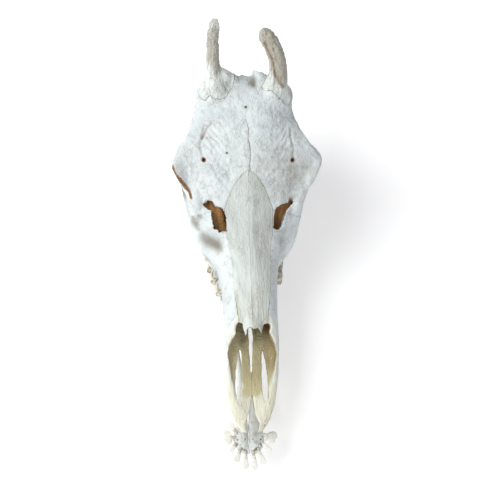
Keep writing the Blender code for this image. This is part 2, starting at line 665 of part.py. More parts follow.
def build_bones(head):
    """The head parted into its bones along thin cuts."""
    for side, label in ((1, "left"), (-1, "right")):
        part_off(head, "ossicone_" + label, horn_region(side))
        part_off(head, "nasal_" + label, nasal_region(side))
    front = [(-20, 30), (92, 30), (100, 84), (128, 96), (150, 116), (176, 140), (182, 170), (182, 230),
             (-20, 230)]
    snout = part_off(head, "snout", lambda grow: side_prism("region", front, 200, grow))
    rear = [(0, 30), (393, 30), (393, 98), (377, 112), (352, 128), (338, 160), (332, 190), (332, 250),
            (0, 250)]
    cheeks = part_off(head, "cheeks", lambda grow: side_prism("region", rear, 200, grow))
    stops = [-30, 30, 60, 100, 150, 200, 250, 300, 350, 410]
    half = [(0, s) for s in stops] + [(200, s) for s in reversed(stops)]
    for whole, word in ((snout, "premaxilla_"), (cheeks, "maxilla_")):
        part_off(whole, word + "left", lambda grow: plan_prism("region", half, 0, 400, grow))
        whole.name = word + "right"
    for item in bpy.context.scene.objects:
        keep_largest(item)


def bone_material(name, colour, roughness):
    finish = bpy.data.materials.new(name)
    finish.use_nodes = True
    shader = finish.node_tree.nodes["Principled BSDF"]
    shader.inputs["Base Color"].default_value = (*colour, 1.0)
    shader.inputs["Roughness"].default_value = roughness
    shader.inputs["Metallic"].default_value = 0.0
    finish.diffuse_color = (*colour, 1.0)
    return finish


def finish_bones():
    """Middle of the footprint to the origin, lowest point to the floor, finishes and shading."""
    bones = [item for item in bpy.context.scene.objects if item.type == "MESH"]
    points = np.array([vertex.co[:] for item in bones for vertex in item.data.vertices])
    low, high = points.min(axis=0), points.max(axis=0)
    shift = Matrix.Translation((-(low[0] + high[0]) / 2, -(low[1] + high[1]) / 2, -low[2]))
    for item in bones:
        item.data.transform(shift)
        item.data.materials.clear()
        kind = item.name.split("_")[0]
        item.data.materials.append(bone_material(item.name + "_bone", *FINISHES[kind]))
        item.data.polygons.foreach_set("use_smooth", [True] * len(item.data.polygons))
        item.data.set_sharp_from_angle(angle=SHARP_FROM)


def make_all():
    clear_scene()
    head = build_head()
    thin_out(head, CRANIUM_TRIANGLES)
    head.name = "cranium"
    teeth = []
    for side in (1, -1):
        teeth += tooth_row(UPPER_TEETH, UPPER_ROW_START, UPPER_ROW_LINE, side, UPPER_ROOT_HEIGHT, BITE_HEIGHT)
    combine(head, teeth, "UNION")
    keep_largest(head)
    build_bones(head)
    jaw_half(1)
    jaw_half(-1)
    finish_bones()


make_all()
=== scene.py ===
"""Giraffe skull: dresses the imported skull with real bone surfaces, enamel teeth and a pale studio.

Each bone is made from its own solid: the copy is closed up into one fine skin, its facets are relaxed, and
foramina, grooves, sutures and rough horn are then worked into it. Places on the skull are written in the
skull's own straight measure, in millimetres: across from the middle line (positive to the animal's left),
back from the snout tips, and up from the floor.
"""

import math

import bmesh
import bpy
import numpy as np
from bpy.props import FloatProperty, FloatVectorProperty, PointerProperty
from mathutils import Matrix, Vector
from mathutils.bvhtree import BVHTree


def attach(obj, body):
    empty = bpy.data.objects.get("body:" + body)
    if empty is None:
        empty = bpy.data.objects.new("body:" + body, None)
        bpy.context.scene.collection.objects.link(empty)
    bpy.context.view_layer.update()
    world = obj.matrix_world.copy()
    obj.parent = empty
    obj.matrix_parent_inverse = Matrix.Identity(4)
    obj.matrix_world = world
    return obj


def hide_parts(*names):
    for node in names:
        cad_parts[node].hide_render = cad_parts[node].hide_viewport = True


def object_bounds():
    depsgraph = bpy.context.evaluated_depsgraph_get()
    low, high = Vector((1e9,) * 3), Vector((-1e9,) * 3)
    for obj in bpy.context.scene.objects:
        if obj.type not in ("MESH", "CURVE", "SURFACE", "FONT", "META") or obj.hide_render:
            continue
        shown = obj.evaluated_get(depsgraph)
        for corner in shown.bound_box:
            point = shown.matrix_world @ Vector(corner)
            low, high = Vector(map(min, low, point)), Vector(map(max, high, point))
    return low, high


bl_info = {
    "name": "Giraffe skull",
    "version": (1, 0, 0),
    "blender": (4, 5, 0),
    "location": "3D View > Sidebar > Skull",
    "description": "Builds bone, teeth and studio round a giraffe skull's solids",
    "category": "Object",
}

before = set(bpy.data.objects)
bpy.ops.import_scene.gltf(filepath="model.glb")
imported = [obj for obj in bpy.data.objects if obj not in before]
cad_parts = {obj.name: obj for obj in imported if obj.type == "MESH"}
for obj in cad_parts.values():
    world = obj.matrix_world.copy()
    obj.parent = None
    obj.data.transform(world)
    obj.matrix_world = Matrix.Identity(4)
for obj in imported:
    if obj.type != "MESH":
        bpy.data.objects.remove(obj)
BOX = [tuple(corner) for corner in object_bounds()]

MM = 0.001
SIDES = (("left", 1), ("right", -1))
# Where the skull's own measure starts in the frame: its middle line and its snout tips.
MIDDLE = 0.95
SNOUT = -265.3
# The middle line wanders sideways: distances back, and how far it drifts there.
DRIFT_AT = (0, 47, 100, 240, 270, 300, 382, 430, 490, 600)
DRIFT_BY = (1, 3, 5, 6, 4, 2.5, 1, -2, -3, -3)

# Bones whose sutures still show, and the neighbours on the other side of them.
SUTURED = {
    "cranium": ("nasal_left", "nasal_right", "ossicone_left", "ossicone_right"),
    "nasal_left": ("nasal_right", "cranium", "maxilla_left"),
    "nasal_right": ("nasal_left", "cranium", "maxilla_right"),
    "ossicone_left": ("cranium",),
    "ossicone_right": ("cranium",),
    "premaxilla_left": ("premaxilla_right",),
    "premaxilla_right": ("premaxilla_left",),
    "mandible_left": ("mandible_right",),
    "mandible_right": ("mandible_left",),
}
# Neighbouring bones are pushed this far into each other, so that a seam reads as a suture and not as a gap.
SEAM_OVERLAP = 0.45
# How far from a neighbouring bone its distance is still noted.
SEAM_REACH = 4.0
# Rays start this far off the surface, lean this much, and find the bone that stands over a cavity up to the
# reach; the more bone, the more painted shade.
RAY_LIFT = 1.5
RAY_LEAN = 0.85
CAVITY_REACH = 55
# How far from a drawn suture or crack its distance is still noted for the paint.
LINE_REACH = 6.0

# Rolled bones under each window, as (across, back, up, half width, half height) along each roll.
SCROLLS = (
    ((34, 296, 140, 6, 6), (39, 316, 150, 7, 7), (43, 338, 160, 8, 8), (44, 362, 168, 8, 8)),
    ((45, 300, 140, 6, 7), (50, 320, 152, 7, 8), (55, 342, 163, 8, 8), (57, 366, 170, 7, 8)),
    ((56, 318, 146, 5, 6), (62, 336, 158, 6, 8), (67, 352, 168, 6, 8), (68, 368, 174, 5, 7)),
    ((34, 306, 140, 12, 6), (44, 330, 148, 20, 7), (52, 356, 158, 20, 8)),
)
# Bare plate at the front of each jaw half, as (back, width, up, half height).
JAW_PLATE = ((-20, 10, 46.5, 3.0), (-15, 17, 46, 4.4), (-6, 22, 43.5, 6.2), (4, 24, 41, 7.6),
             (14, 23.5, 38.3, 8.8), (24, 21, 34.8, 10.4), (32, 18.5, 33, 11))
# Boxes that take the solids' own teeth and jaw front away, as (low corner, high corner).
UPPER_CUT = (((-75, 230, 40), (75, 396, 80.6)),)
LOWER_CUTS = (((-75, 231, 48.5), (75, 402, 90)), ((-75, -80, 0), (75, 20, 90)))

# Grey patches, as (across, back, up, radius, strength). Most are painted shade: over the forehead and face on
# the animal's left, behind the crest between the horns, in the cheek hollows before the windows, along the
# tooth rows, and on the animal's left of the jaw's front. Along the torn outer margin of the face they are
# grime and painted shade together.
CRANIUM_SHADE_AND_GRIME = ((52, 398, 230, 44, 0.3), (66, 372, 215, 30, 0.16), (20, 392, 236, 20, 0.2),
                (88, 385, 220, 26, 0.2), (-97, 382, 160, 15, 0.95), (-97, 352, 185, 12, 0.2),
                (-9, 518, 280, 10, 0.3), (11, 508, 278, 6, 1.0), (-27, 517, 290, 9, 0.2),
                (66, 470, 240, 26, 0.15), (70, 340, 195, 26, 0.2))
MAXILLA_SHADE_AND_GRIME = ((-57.5, 292, 152, 15, 0.68), (-49, 284, 157, 11, 0.45), (-67, 306, 145, 13, 0.6),
                (-80.5, 327, 149, 8, 0.7), (-84, 338, 150, 7, 0.6), (-75, 336, 165, 8, 0.6),
                (55, 296, 161, 14, 0.35), (-64, 287, 108, 12, 0.6), (-54, 264, 100, 12, 0.5),
                (-47, 245, 92, 10, 0.3), (56, 272, 96, 12, 0.4))
JAW_PAINTED_SHADE = ((11, -2, 46, 5, 0.7), (11, 12, 44, 6, 0.6), (6, 22, 40, 5, 0.3))

# Cheek teeth: name, length, width and lobes. The rows start this far back, and meet at the height of the bite.
UPPER_TEETH = (("P2", 20, 22, 1), ("P3", 20, 25, 1), ("P4", 20, 27, 1), ("M1", 27, 29, 2), ("M2", 29, 31, 2),
               ("M3", 29, 30, 2))
LOWER_TEETH = (("p2", 19, 13, 1), ("p3", 22, 15, 1), ("p4", 23, 17, 1), ("m1", 27, 19, 2), ("m2", 29, 20, 2),
               ("m3", 35, 20, 3))
UPPER_START = 239
LOWER_START = 238
TOOTH_GAP = 0.6
ROOT_SPACING = 13.5
BITE = 63
UPPER_ROOT = 92
LOWER_ROOT = 38
# Middle of each row as (back, across). The left upper row bulges out at the premolars.
UPPER_LINES = {"left": ((239, 255, 268, 285, 305, 345, 385), (37, 42, 50, 53, 51, 50, 48)),
               "right": ((239, 255, 273, 289, 305, 345, 385), (36.5, 40.5, 44.5, 47, 48.5, 50, 48))}
LOWER_LINE = ((238, 300, 350, 395), (33, 41, 46, 49))
# Front teeth: name, root, tip, half width and lobes. No two stand alike.
FRONT_TEETH = (
    ("i1_left", (5, -12, 45), (5.5, -50, 58), 5.2, 1), ("i1_right", (-6, -13, 45), (-9.4, -48.5, 58), 5.4, 1),
    ("i2_left", (12, -9, 44.5), (19.6, -40, 57), 5.8, 1), ("i2_right", (-13, -6, 44.5), (-24, -37, 57), 5.6, 1),
    ("i3_left", (19, 1, 43.5), (30.4, -20, 55), 5.4, 1), ("i3_right", (-20, 0, 43.5), (-31.6, -18, 54), 5.2, 1),
    ("canine_left", (20, 13, 44), (42, 0.5, 53.5), 10.8, 2),
    ("canine_right", (-19, 8, 44), (-42.6, 4.5, 53.5), 12.6, 2),
    ("lobe_right", (-19, 12, 44.5), (-32.5, 27.5, 56), 6.4, 1),
)
# Half width and half depth of a front tooth's neck, half depth of its tip, and how far it arches up.
NECK_WIDE = 2.6
NECK_THICK = 2.7
TIP_THICK = 1.3
TOOTH_LIFT = 1.5
# Sockets of the front teeth, and the jaw's foramina and pits as (across, back, up, radius), on each side.
SOCKETS = ((5.5, -17, 49.5), (13, -12, 49), (20, -4, 48.5), (23, 8, 48))
JAW_PITS = ((19.5, 62, 36, 2.6), (61, 452, 92, 2.6), (9, -14, 49, 1.1), (14, -6, 48.5, 0.9), (6, 4, 47, 0.9),
            (18, 3, 47, 1.2), (11, 14, 45, 0.9))

# Places read from the photograph's view and carried onto the skull: (across, back) pairs on the roof.
BROW_GROOVES = (
    ((-51, 458), (-60, 449), (-67, 437), (-74, 423), (-72, 410), (-69.5, 400)),
    ((71, 449), (70, 437), (74, 417), (72, 410), (71, 401)),
    ((-66, 456), (-68, 445), (-71, 433)),
)
FINE_GROOVES = (
    ((-45, 410), (-51, 398), (-58, 392), (-67, 386.5), (-81, 385.6)),
    ((-53, 389), (-44, 383), (-31, 378)),
    ((-56, 381), (-44, 374), (-30, 372.5)),
    ((-46.5, 394), (-37.5, 387), (-25, 386)),
    ((-62, 398), (-55, 390), (-50, 377)),
    ((33.6, 389), (44.5, 384), (57, 382)),
    ((33, 377), (44.5, 373), (56, 372.6)),
    ((50, 396), (58, 389), (70, 386)),
    ((-113, 395), (-103, 391), (-92, 390), (-80, 397), (-73, 399)),
    ((-40, 452), (-33, 441), (-30, 428)),
    ((44, 450), (39, 437), (41, 425)),
)
MEDIAN_SUTURE = ((-1.3, 456), (3.2, 443), (1.4, 431), (4, 420), (4.7, 407), (2.1, 393), (2.5, 383))
OPEN_CRACK = ((1.4, 429), (4, 420), (4.7, 407), (2.1, 393), (2.5, 385))
CORONAL_SUTURES = (
    ((-51, 461.6), (-32, 462.4), (-14, 458.7), (-1.3, 456)),
    ((-1.3, 456), (24, 459.5), (47, 458.7), (66, 452.8)),
)
NASAL_STAINS = (((-24.5, 213), (-24.2, 183), (-23.4, 166)), ((14.2, 211), (14.6, 189), (16.8, 167)))
# The windows' edges, drawn at one height. They lean back and inwards by these shares as they go down.
WINDOWS = (
    ((-72, 345), (-65, 353), (-57, 353), (-52, 341), (-49, 344), (-45, 340), (-39, 338), (-35, 318),
     (-36, 297), (-49, 297), (-51, 302), (-57, 300), (-59, 330), (-59, 335), (-70, 341), (-72, 345)),
    ((38, 305), (39, 324), (42, 339), (52, 347), (60, 350), (63, 347), (64, 358), (72, 355),
     (75, 349), (67, 342), (62, 333), (58, 319), (55, 306), (49, 301), (45, 301), (38, 305)),
)
WINDOW_LEVEL = 185
WINDOW_LEAN = (0.0022, 0.466)
# Holes for nerves and vessels, as (across, back, up, radius).
FORAMINA = ((-69.5, 400, 229.8, 2.4), (70.9, 401, 230.2, 2.4), (-1.1, 474, 267.9, 1.6),
            (-32.8, 409.6, 235.7, 1.5), (38, 404, 234, 1.2), (-57, 432, 243, 1.1))
SNOUT_FORAMINA = ((-16, 22, 92, 1.1), (17, 30, 92, 1.1), (-22, 44, 92, 1.1), (20, 12, 92, 1.1))
SOCKET_MARGIN = ((-119, 403, 229), (-117, 393, 226), (-113.5, 383, 221), (-108.5, 376, 216), (-102.5, 370, 208),
                 (-97, 366, 198), (-92.5, 360, 193), (-91, 356, 188))
# Stained fissure down the inner side of the left horn.
HORN_FISSURE = ((24, 548, 334), (38, 527, 314), (44, 512, 298), (56, 500, 286))

# The photograph's camera, in degrees and millimetres, and the pixel at which its aim falls.
PHOTO_SIZE = 480
CAMERA_HEIGHT = 65
CAMERA_ASIDE = -7
CAMERA_DISTANCE = 2200
AIM = (0, 262, 190)
AIM_PIXEL = (250, 251)
MM_PER_PIXEL = 1.55
SENSOR = 36
# Lamps: name, setting that holds the power, share of it, size, place and tint.
LAMPS = (("key", "key", 1, 1.6, (-1.5, 0.1, 1.9), (0.98, 1.0, 0.99)),
         ("fill", "fill", 0.2, 1.8, (1.8, -0.6, 0.7), (1.0, 0.97, 1.0)),
         ("front", "fill", 1, 1.4, (-0.3, -2.0, 1.0), (1, 1, 1)))


def colour(code):
    """Linear colour from an sRGB hex value."""
    parts = [int(code[i:i + 2], 16) / 255 for i in (1, 3, 5)]
    return tuple(c / 12.92 if c <= 0.04045 else ((c + 0.055) / 1.055) ** 2.4 for c in parts)


def hex_of(values):
    """sRGB hex value of a panel colour, which Blender keeps linear."""
    out = "#"
    for c in values:
        s = 12.92 * c if c <= 0.0031308 else 1.055 * c ** (1 / 2.4) - 0.055
        out += f"{round(255 * min(max(s, 0), 1)):02X}"
    return out


# The skull's measure, patterns and distances.

def drift(back):
    return np.interp(back, DRIFT_AT, DRIFT_BY)


def to_skull(points):
    """Frame metres to the skull's straight measure."""
    out = np.array(points, float) / MM
    out[:, 1] -= SNOUT
    out[:, 0] -= MIDDLE + drift(out[:, 1])
    return out


def to_frame(points):
    """The skull's straight measure to frame metres."""
    out = np.array(points, float)
    out[:, 0] += MIDDLE + drift(out[:, 1])
    out[:, 1] += SNOUT
    return out * MM


def smooth_step(low, high, value):
    t = np.clip((value - low) / (high - low), 0, 1)
    return t * t * (3 - 2 * t)


def bell(away, width):
    """1 at the middle, fading to about a third at width and to nothing beyond."""
    return np.exp(-(away / width) ** 2)


def rounded(value):
    """Half width of a round end: 1 where value is 0, closing where it is 1."""
    return np.sqrt(np.clip(1 - value, 0, 1))


def soft_noise(points, size, seed):
    """Noise from -1 to 1 that changes over size millimetres."""
    place = points / size
    cell = np.floor(place).astype(np.int64)
    part = place - cell
    part = part * part * (3 - 2 * part)
    total = np.zeros(len(points))
    for corner in range(8):
        step = np.array((corner & 1, corner >> 1 & 1, corner >> 2))
        code = (cell + step) @ np.array((73856093, 19349663, 83492791)) + seed * 974711
        code = ((code ^ (code >> 13)) * 1274126177) & 0x7fffffff
        code = (code ^ (code >> 15)) & 0xffff
        share = np.prod(np.where(step, part, 1 - part), axis=1)
        total += share * (code / 32767.5 - 1)
    return total


def creases(points, size, seed):
    """Noise from -1 to 1 with sharp valleys that wander like wrinkles."""
    return 2 * np.sqrt(np.abs(soft_noise(points, size, seed))) - 1


def distance_to(points, place):
    return np.linalg.norm(points - place, axis=1)


def line_distance(points, path):
    """Distance in space to a path of (across, back, up)."""
    best = np.full(len(points), 1e3)
    corners = np.array(path, float)
    for a, b in zip(corners, corners[1:]):
        way = b - a
        t = np.clip((points - a) @ way / (way @ way), 0, 1)
        best = np.minimum(best, distance_to(points, a + t[:, None] * way))
    return best


def path_distance(points, path):
    """Distance in plan to a path, and the same distance signed by the side of it."""
    best = np.full(len(points), 1e3)
    side = np.ones(len(points))
    for (x0, y0), (x1, y1) in zip(path, path[1:]):
        dx, dy = x1 - x0, y1 - y0
        px, py = points[:, 0] - x0, points[:, 1] - y0
        t = np.clip((px * dx + py * dy) / (dx * dx + dy * dy), 0, 1)
        away = np.hypot(px - t * dx, py - t * dy)
        nearer = away < best
        best = np.where(nearer, away, best)
        side = np.where(nearer, np.sign(dx * py - dy * px), side)
    return best, best * side


def spots(skull, places):
    """Sum of soft round patches: (across, back, up, radius, strength)."""
    total = np.zeros(len(skull))
    for x, y, z, radius, strength in places:
        total += strength * bell(distance_to(skull, (x, y, z)), radius)
    return total


def window_distance(skull):
    """Distance to the rims of the windows in the face, measured along their lean."""
    down = WINDOW_LEVEL - skull[:, 2]
    level = np.column_stack((skull[:, 0] / (1 - WINDOW_LEAN[0] * down), skull[:, 1] - WINDOW_LEAN[1] * down))
    near = np.minimum(path_distance(level, WINDOWS[0])[0], path_distance(level, WINDOWS[1])[0])
    return np.where(skull[:, 2] > 130, near, 99)


# Reading, selecting and joining meshes.

def read_rows(items, name, width, kind=np.float32):
    """One value of every vertex, edge or triangle, as rows of the given width."""
    flat = np.empty(len(items) * width, kind)
    items.foreach_get(name, flat)
    return flat.reshape(-1, width)


def vertex_places(mesh):
    return read_rows(mesh.vertices, "co", 3).astype(float)


def vertex_normals(mesh):
    return read_rows(mesh.vertices, "normal", 3).astype(float)


def edge_ends(mesh):
    return read_rows(mesh.edges, "vertices", 2, np.int32)


def set_vertex_places(mesh, places):
    mesh.vertices.foreach_set("co", places.astype(np.float32).ravel())
    mesh.update()


def write_attribute(mesh, name, values):
    made = mesh.attributes.get(name) or mesh.attributes.new(name, "FLOAT", "POINT")
    made.data.foreach_set("value", values.astype(np.float32))


def smooth_faces(mesh):
    mesh.polygons.foreach_set("use_smooth", np.ones(len(mesh.polygons), bool))
    mesh.update()


def rename(piece, name):
    piece.name = name
    piece.data.name = name


def deselect_all():
    if bpy.context.mode != "OBJECT":
        bpy.ops.object.mode_set(mode="OBJECT")
    bpy.ops.object.select_all(action="DESELECT")


def make_active(piece):
    deselect_all()
    piece.select_set(True)
    bpy.context.view_layer.objects.active = piece


def edit_all(piece, operator, **settings):
    """Runs an edit mode operator on the whole mesh."""
    make_active(piece)
    bpy.ops.object.mode_set(mode="EDIT")
    bpy.ops.mesh.select_all(action="SELECT")
    operator(**settings)
    bpy.ops.object.mode_set(mode="OBJECT")


def make_outward(piece):
    """Turns the faces outwards. The operator misjudges a thin tip, so the volume's sign has the last word."""
    edit_all(piece, bpy.ops.mesh.normals_make_consistent, inside=False)
    bm = bmesh.new()
    bm.from_mesh(piece.data)
    inside_out = bm.calc_volume(signed=True) < 0
    bm.free()
    if inside_out:
        edit_all(piece, bpy.ops.mesh.flip_normals)


def apply_all(piece):
    make_active(piece)
    for modifier in list(piece.modifiers):
        bpy.ops.object.modifier_apply(modifier=modifier.name)


def join(piece, others):
    make_active(piece)
    for other in others:
        other.select_set(True)
    bpy.ops.object.join()
    return piece


def copy_of_node(node, name):
    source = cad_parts[node]
    piece = source.copy()
    piece.data = source.data.copy()
    rename(piece, name)
    piece.parent = None
    piece.matrix_world = Matrix.Identity(4)
    bpy.context.scene.collection.objects.link(piece)
    piece.hide_render = piece.hide_viewport = False
    piece.data.materials.clear()
    for key in list(piece.keys()):
        del piece[key]
    edit_all(piece, bpy.ops.mesh.remove_doubles, threshold=0.00001)
    return piece


def limb(name, stations, sides=20):
    """Closed tapering form through (across, back, up, half width, half height), in the skull's measure."""
    bm = bmesh.new()
    rings = []
    for x, y, z, wide, tall in stations:
        ring = [(x + wide * math.cos(2 * math.pi * k / sides), y, z + tall * math.sin(2 * math.pi * k / sides))
                for k in range(sides)]
        rings.append([bm.verts.new(p) for p in to_frame(ring)])
    for near, far in zip(rings, rings[1:]):
        for k in range(sides):
            bm.faces.new((near[k], near[(k + 1) % sides], far[(k + 1) % sides], far[k]))
    bm.faces.new(rings[0])
    bm.faces.new(rings[-1])
    bmesh.ops.recalc_face_normals(bm, faces=bm.faces)
    mesh = bpy.data.meshes.new(name)
    bm.to_mesh(mesh)
    bm.free()
    made = bpy.data.objects.new(name, mesh)
    bpy.context.scene.collection.objects.link(made)
    return made


def cut_box(piece, low, high):
    """Takes away what lies inside a box given in the skull's measure, round the middle of its length."""
    corners = to_frame([low, high])
    deselect_all()
    bpy.ops.mesh.primitive_cube_add(size=1, location=corners.mean(axis=0))
    box = bpy.context.active_object
    box.scale = np.abs(corners[1] - corners[0])
    bpy.ops.object.transform_apply(location=True, rotation=True, scale=True)
    cut = piece.modifiers.new("cut", "BOOLEAN")
    cut.operation = "DIFFERENCE"
    cut.solver = "EXACT"
    cut.object = box
    apply_all(piece)
    bpy.data.objects.remove(box, do_unlink=True)


def fine_skin(piece, voxel):
    """One closed, even skin over everything in the piece."""
    remesh = piece.modifiers.new("skin", "REMESH")
    remesh.mode = "VOXEL"
    remesh.voxel_size = voxel * MM * 1
    apply_all(piece)


def keep_main_body(piece):
    """Drops any crumbs, leaving the largest closed surface."""
    make_active(piece)
    bm = bmesh.new()
    bm.from_mesh(piece.data)
    bm.verts.ensure_lookup_table()
    seen = np.zeros(len(bm.verts), bool)
    bodies = []
    for vertex in bm.verts:
        if seen[vertex.index]:
            continue
        seen[vertex.index] = True
        queue, body = [vertex], []
        while queue:
            here = queue.pop()
            body.append(here)
            for edge in here.link_edges:
                other = edge.other_vert(here)
                if not seen[other.index]:
                    seen[other.index] = True
                    queue.append(other)
        bodies.append(body)
    bodies.sort(key=len)
    for body in bodies[:-1]:
        bmesh.ops.delete(bm, geom=body, context="VERTS")
    bm.to_mesh(piece.data)
    bm.free()


def neighbour_mean(values, edges, count):
    a, b = edges.T
    out = np.empty_like(values)
    for k in range(values.shape[1]):
        out[:, k] = np.bincount(a, values[b, k], len(values)) + np.bincount(b, values[a, k], len(values))
    return out / count[:, None]


def relax(places, edges, rounds, weight):
    """Takes out facets without shrinking: each round pulls in, then pushes back a little more."""
    count = np.bincount(edges.ravel(), minlength=len(places))
    for _ in range(rounds):
        for step in (0.5, -0.51):
            places = places + (step * weight)[:, None] * (neighbour_mean(places, edges, count) - places)
    return places


def spread(values, edges, rounds):
    """Evens a value out over the surface."""
    count = np.bincount(edges.ravel(), minlength=len(values))
    values = values[:, None]
    for _ in range(rounds):
        values = 0.5 * values + 0.5 * neighbour_mean(values, edges, count)
    return values[:, 0]


# What stands round each bone.

def solid_tree(names):
    """The solids of these nodes as one search tree."""
    places, faces, start = [], [], 0
    for name in names:
        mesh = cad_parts[name].data
        mesh.calc_loop_triangles()
        places.append(vertex_places(mesh))
        faces.append(read_rows(mesh.loop_triangles, "vertices", 3, np.int32) + start)
        start += len(mesh.vertices)
    return BVHTree.FromPolygons(np.concatenate(places).tolist(), np.concatenate(faces).tolist())


def seam_distance(places, names):
    """Distance in millimetres from each vertex to the solids of these nodes, up to the reach of a seam."""
    tree = solid_tree(names)
    out = np.full(len(places), SEAM_REACH)
    for i, place in enumerate(places):
        found = tree.find_nearest(place, SEAM_REACH * MM)
        if found[3] is not None:
            out[i] = found[3] / MM
    return out


def hollowness(places, normals, rays):
    """How much bone stands in front of each vertex, from 0 in the open to 1 deep in a cavity."""
    tree = solid_tree(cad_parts)
    # Any fixed way that few normals share gives each vertex its two sideways directions.
    side_a = np.cross(normals, (0.31, 0.62, 0.72))
    side_a /= np.linalg.norm(side_a, axis=1)[:, None] + 1e-9
    side_b = np.cross(normals, side_a)
    total = np.zeros(len(places))
    starts = places + normals * RAY_LIFT * MM
    for k in range(rays):
        turn = 2 * math.pi * k / (rays - 1)
        lean = 0 if k == rays - 1 else RAY_LEAN
        ways = normals + lean * (math.cos(turn) * side_a + math.sin(turn) * side_b)
        ways /= np.linalg.norm(ways, axis=1)[:, None]
        for i in range(len(places)):
            found = tree.ray_cast(starts[i], ways[i], CAVITY_REACH * MM)
            if found[3] is not None:
                total[i] += 1 - 0.5 * found[3] / (CAVITY_REACH * MM)
    return total / rays


# Working a bone's surface.

class Skin:
    """A bone's surface as it is worked: its places, how far each moves, and what the paint needs."""

    def __init__(self, skull, normals):
        self.skull = skull
        self.normals = normals
        self.across, self.back, self.up = skull.T
        self.moves, self.stain, self.tone, self.soil, self.cream = np.zeros((5, len(skull)))
        # Share of the painted cavity shade that the bone keeps.
        self.shade = np.ones(len(skull))
        self.line_near, self.line_side = np.full((2, len(skull)), LINE_REACH)
        # Sideways moves that leave the rims of the windows ragged.
        ragged = 2.0 * bell(window_distance(skull), 2.2)
        self.shift = np.column_stack((ragged * soft_noise(skull, 3.2, 81), ragged * soft_noise(skull, 3.2, 82),
                                      0 * ragged))

    def near(self, *place):
        """Distance from a place given as (across, back, up)."""
        return distance_to(self.skull, place)

    def pit(self, x, y, z, radius):
        """Sinks a round hole with a stained rim."""
        away = self.near(x, y, z)
        self.moves -= 2.6 * radius * np.exp(-(away / radius) ** 4)
        self.stain += 0.9 * bell(away, 1.5 * radius)

    def groove(self, path, depth, width, tint=0.0):
        """Sinks a groove along a path on the roof, and returns the distance to it and on which side."""
        facing = smooth_step(0.15, 0.45, self.normals[:, 2])
        away, side = path_distance(self.skull, path)
        away = np.where(facing > 0, away, 1e3)
        self.moves -= depth * facing * bell(away, width)
        self.stain += tint * facing * bell(away, 1.6 * width)
        return away, side

    def crack(self, path, depth, width, tint=0.0):
        """A groove in which the paint draws a hairline."""
        away, side = self.groove(path, depth, width, tint)
        closer = away < self.line_near
        self.line_side = np.where(closer, side, self.line_side)
        self.line_near = np.where(closer, away, self.line_near)


def finish_bone(piece, node, rounds, work):
    """Relaxes the skin, works the surface, and stores what the paint needs."""
    keep_main_body(piece)
    mesh = piece.data
    edges = edge_ends(mesh)
    places = vertex_places(mesh)
    seam = seam_distance(places, [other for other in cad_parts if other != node])
    weight = 0.12 + 0.88 * smooth_step(0.6, 3.0, seam)
    weight *= 0.2 + 0.8 * smooth_step(1.5, 5, window_distance(to_skull(places)))
    places = relax(places, edges, rounds, weight)
    set_vertex_places(mesh, places)
    normals = vertex_normals(mesh)
    places = places + normals * (SEAM_OVERLAP * smooth_step(2.2, 0.5, seam))[:, None] * MM
    hollow = hollowness(places, normals, 6)
    skin = Skin(to_skull(places), normals)
    work(skin)
    inside = smooth_step(0.9, 3.2, seam)
    places = places + (normals * skin.moves[:, None] + skin.shift) * inside[:, None] * MM
    places = np.clip(places, *BOX)
    set_vertex_places(mesh, places)
    suture = np.full(len(places), SEAM_REACH)
    if node in SUTURED:
        suture = seam_distance(places, SUTURED[node])
    # Painted shade for the cavities: how much bone stands over each spot, evened out and cut to the bone's
    # share.
    write_attribute(mesh, "hollow", spread(hollow, edges, 4) * skin.shade)
    for name in ("stain", "tone", "soil", "cream"):
        write_attribute(mesh, name, np.clip(getattr(skin, name), 0, 1))
    write_attribute(mesh, "line_side", np.clip(skin.line_side, -LINE_REACH, LINE_REACH))
    write_attribute(mesh, "line_near", np.clip(skin.line_near, 0, LINE_REACH))
    write_attribute(mesh, "suture", np.clip(1 - suture / SEAM_REACH, 0, 1))
    smooth_faces(mesh)


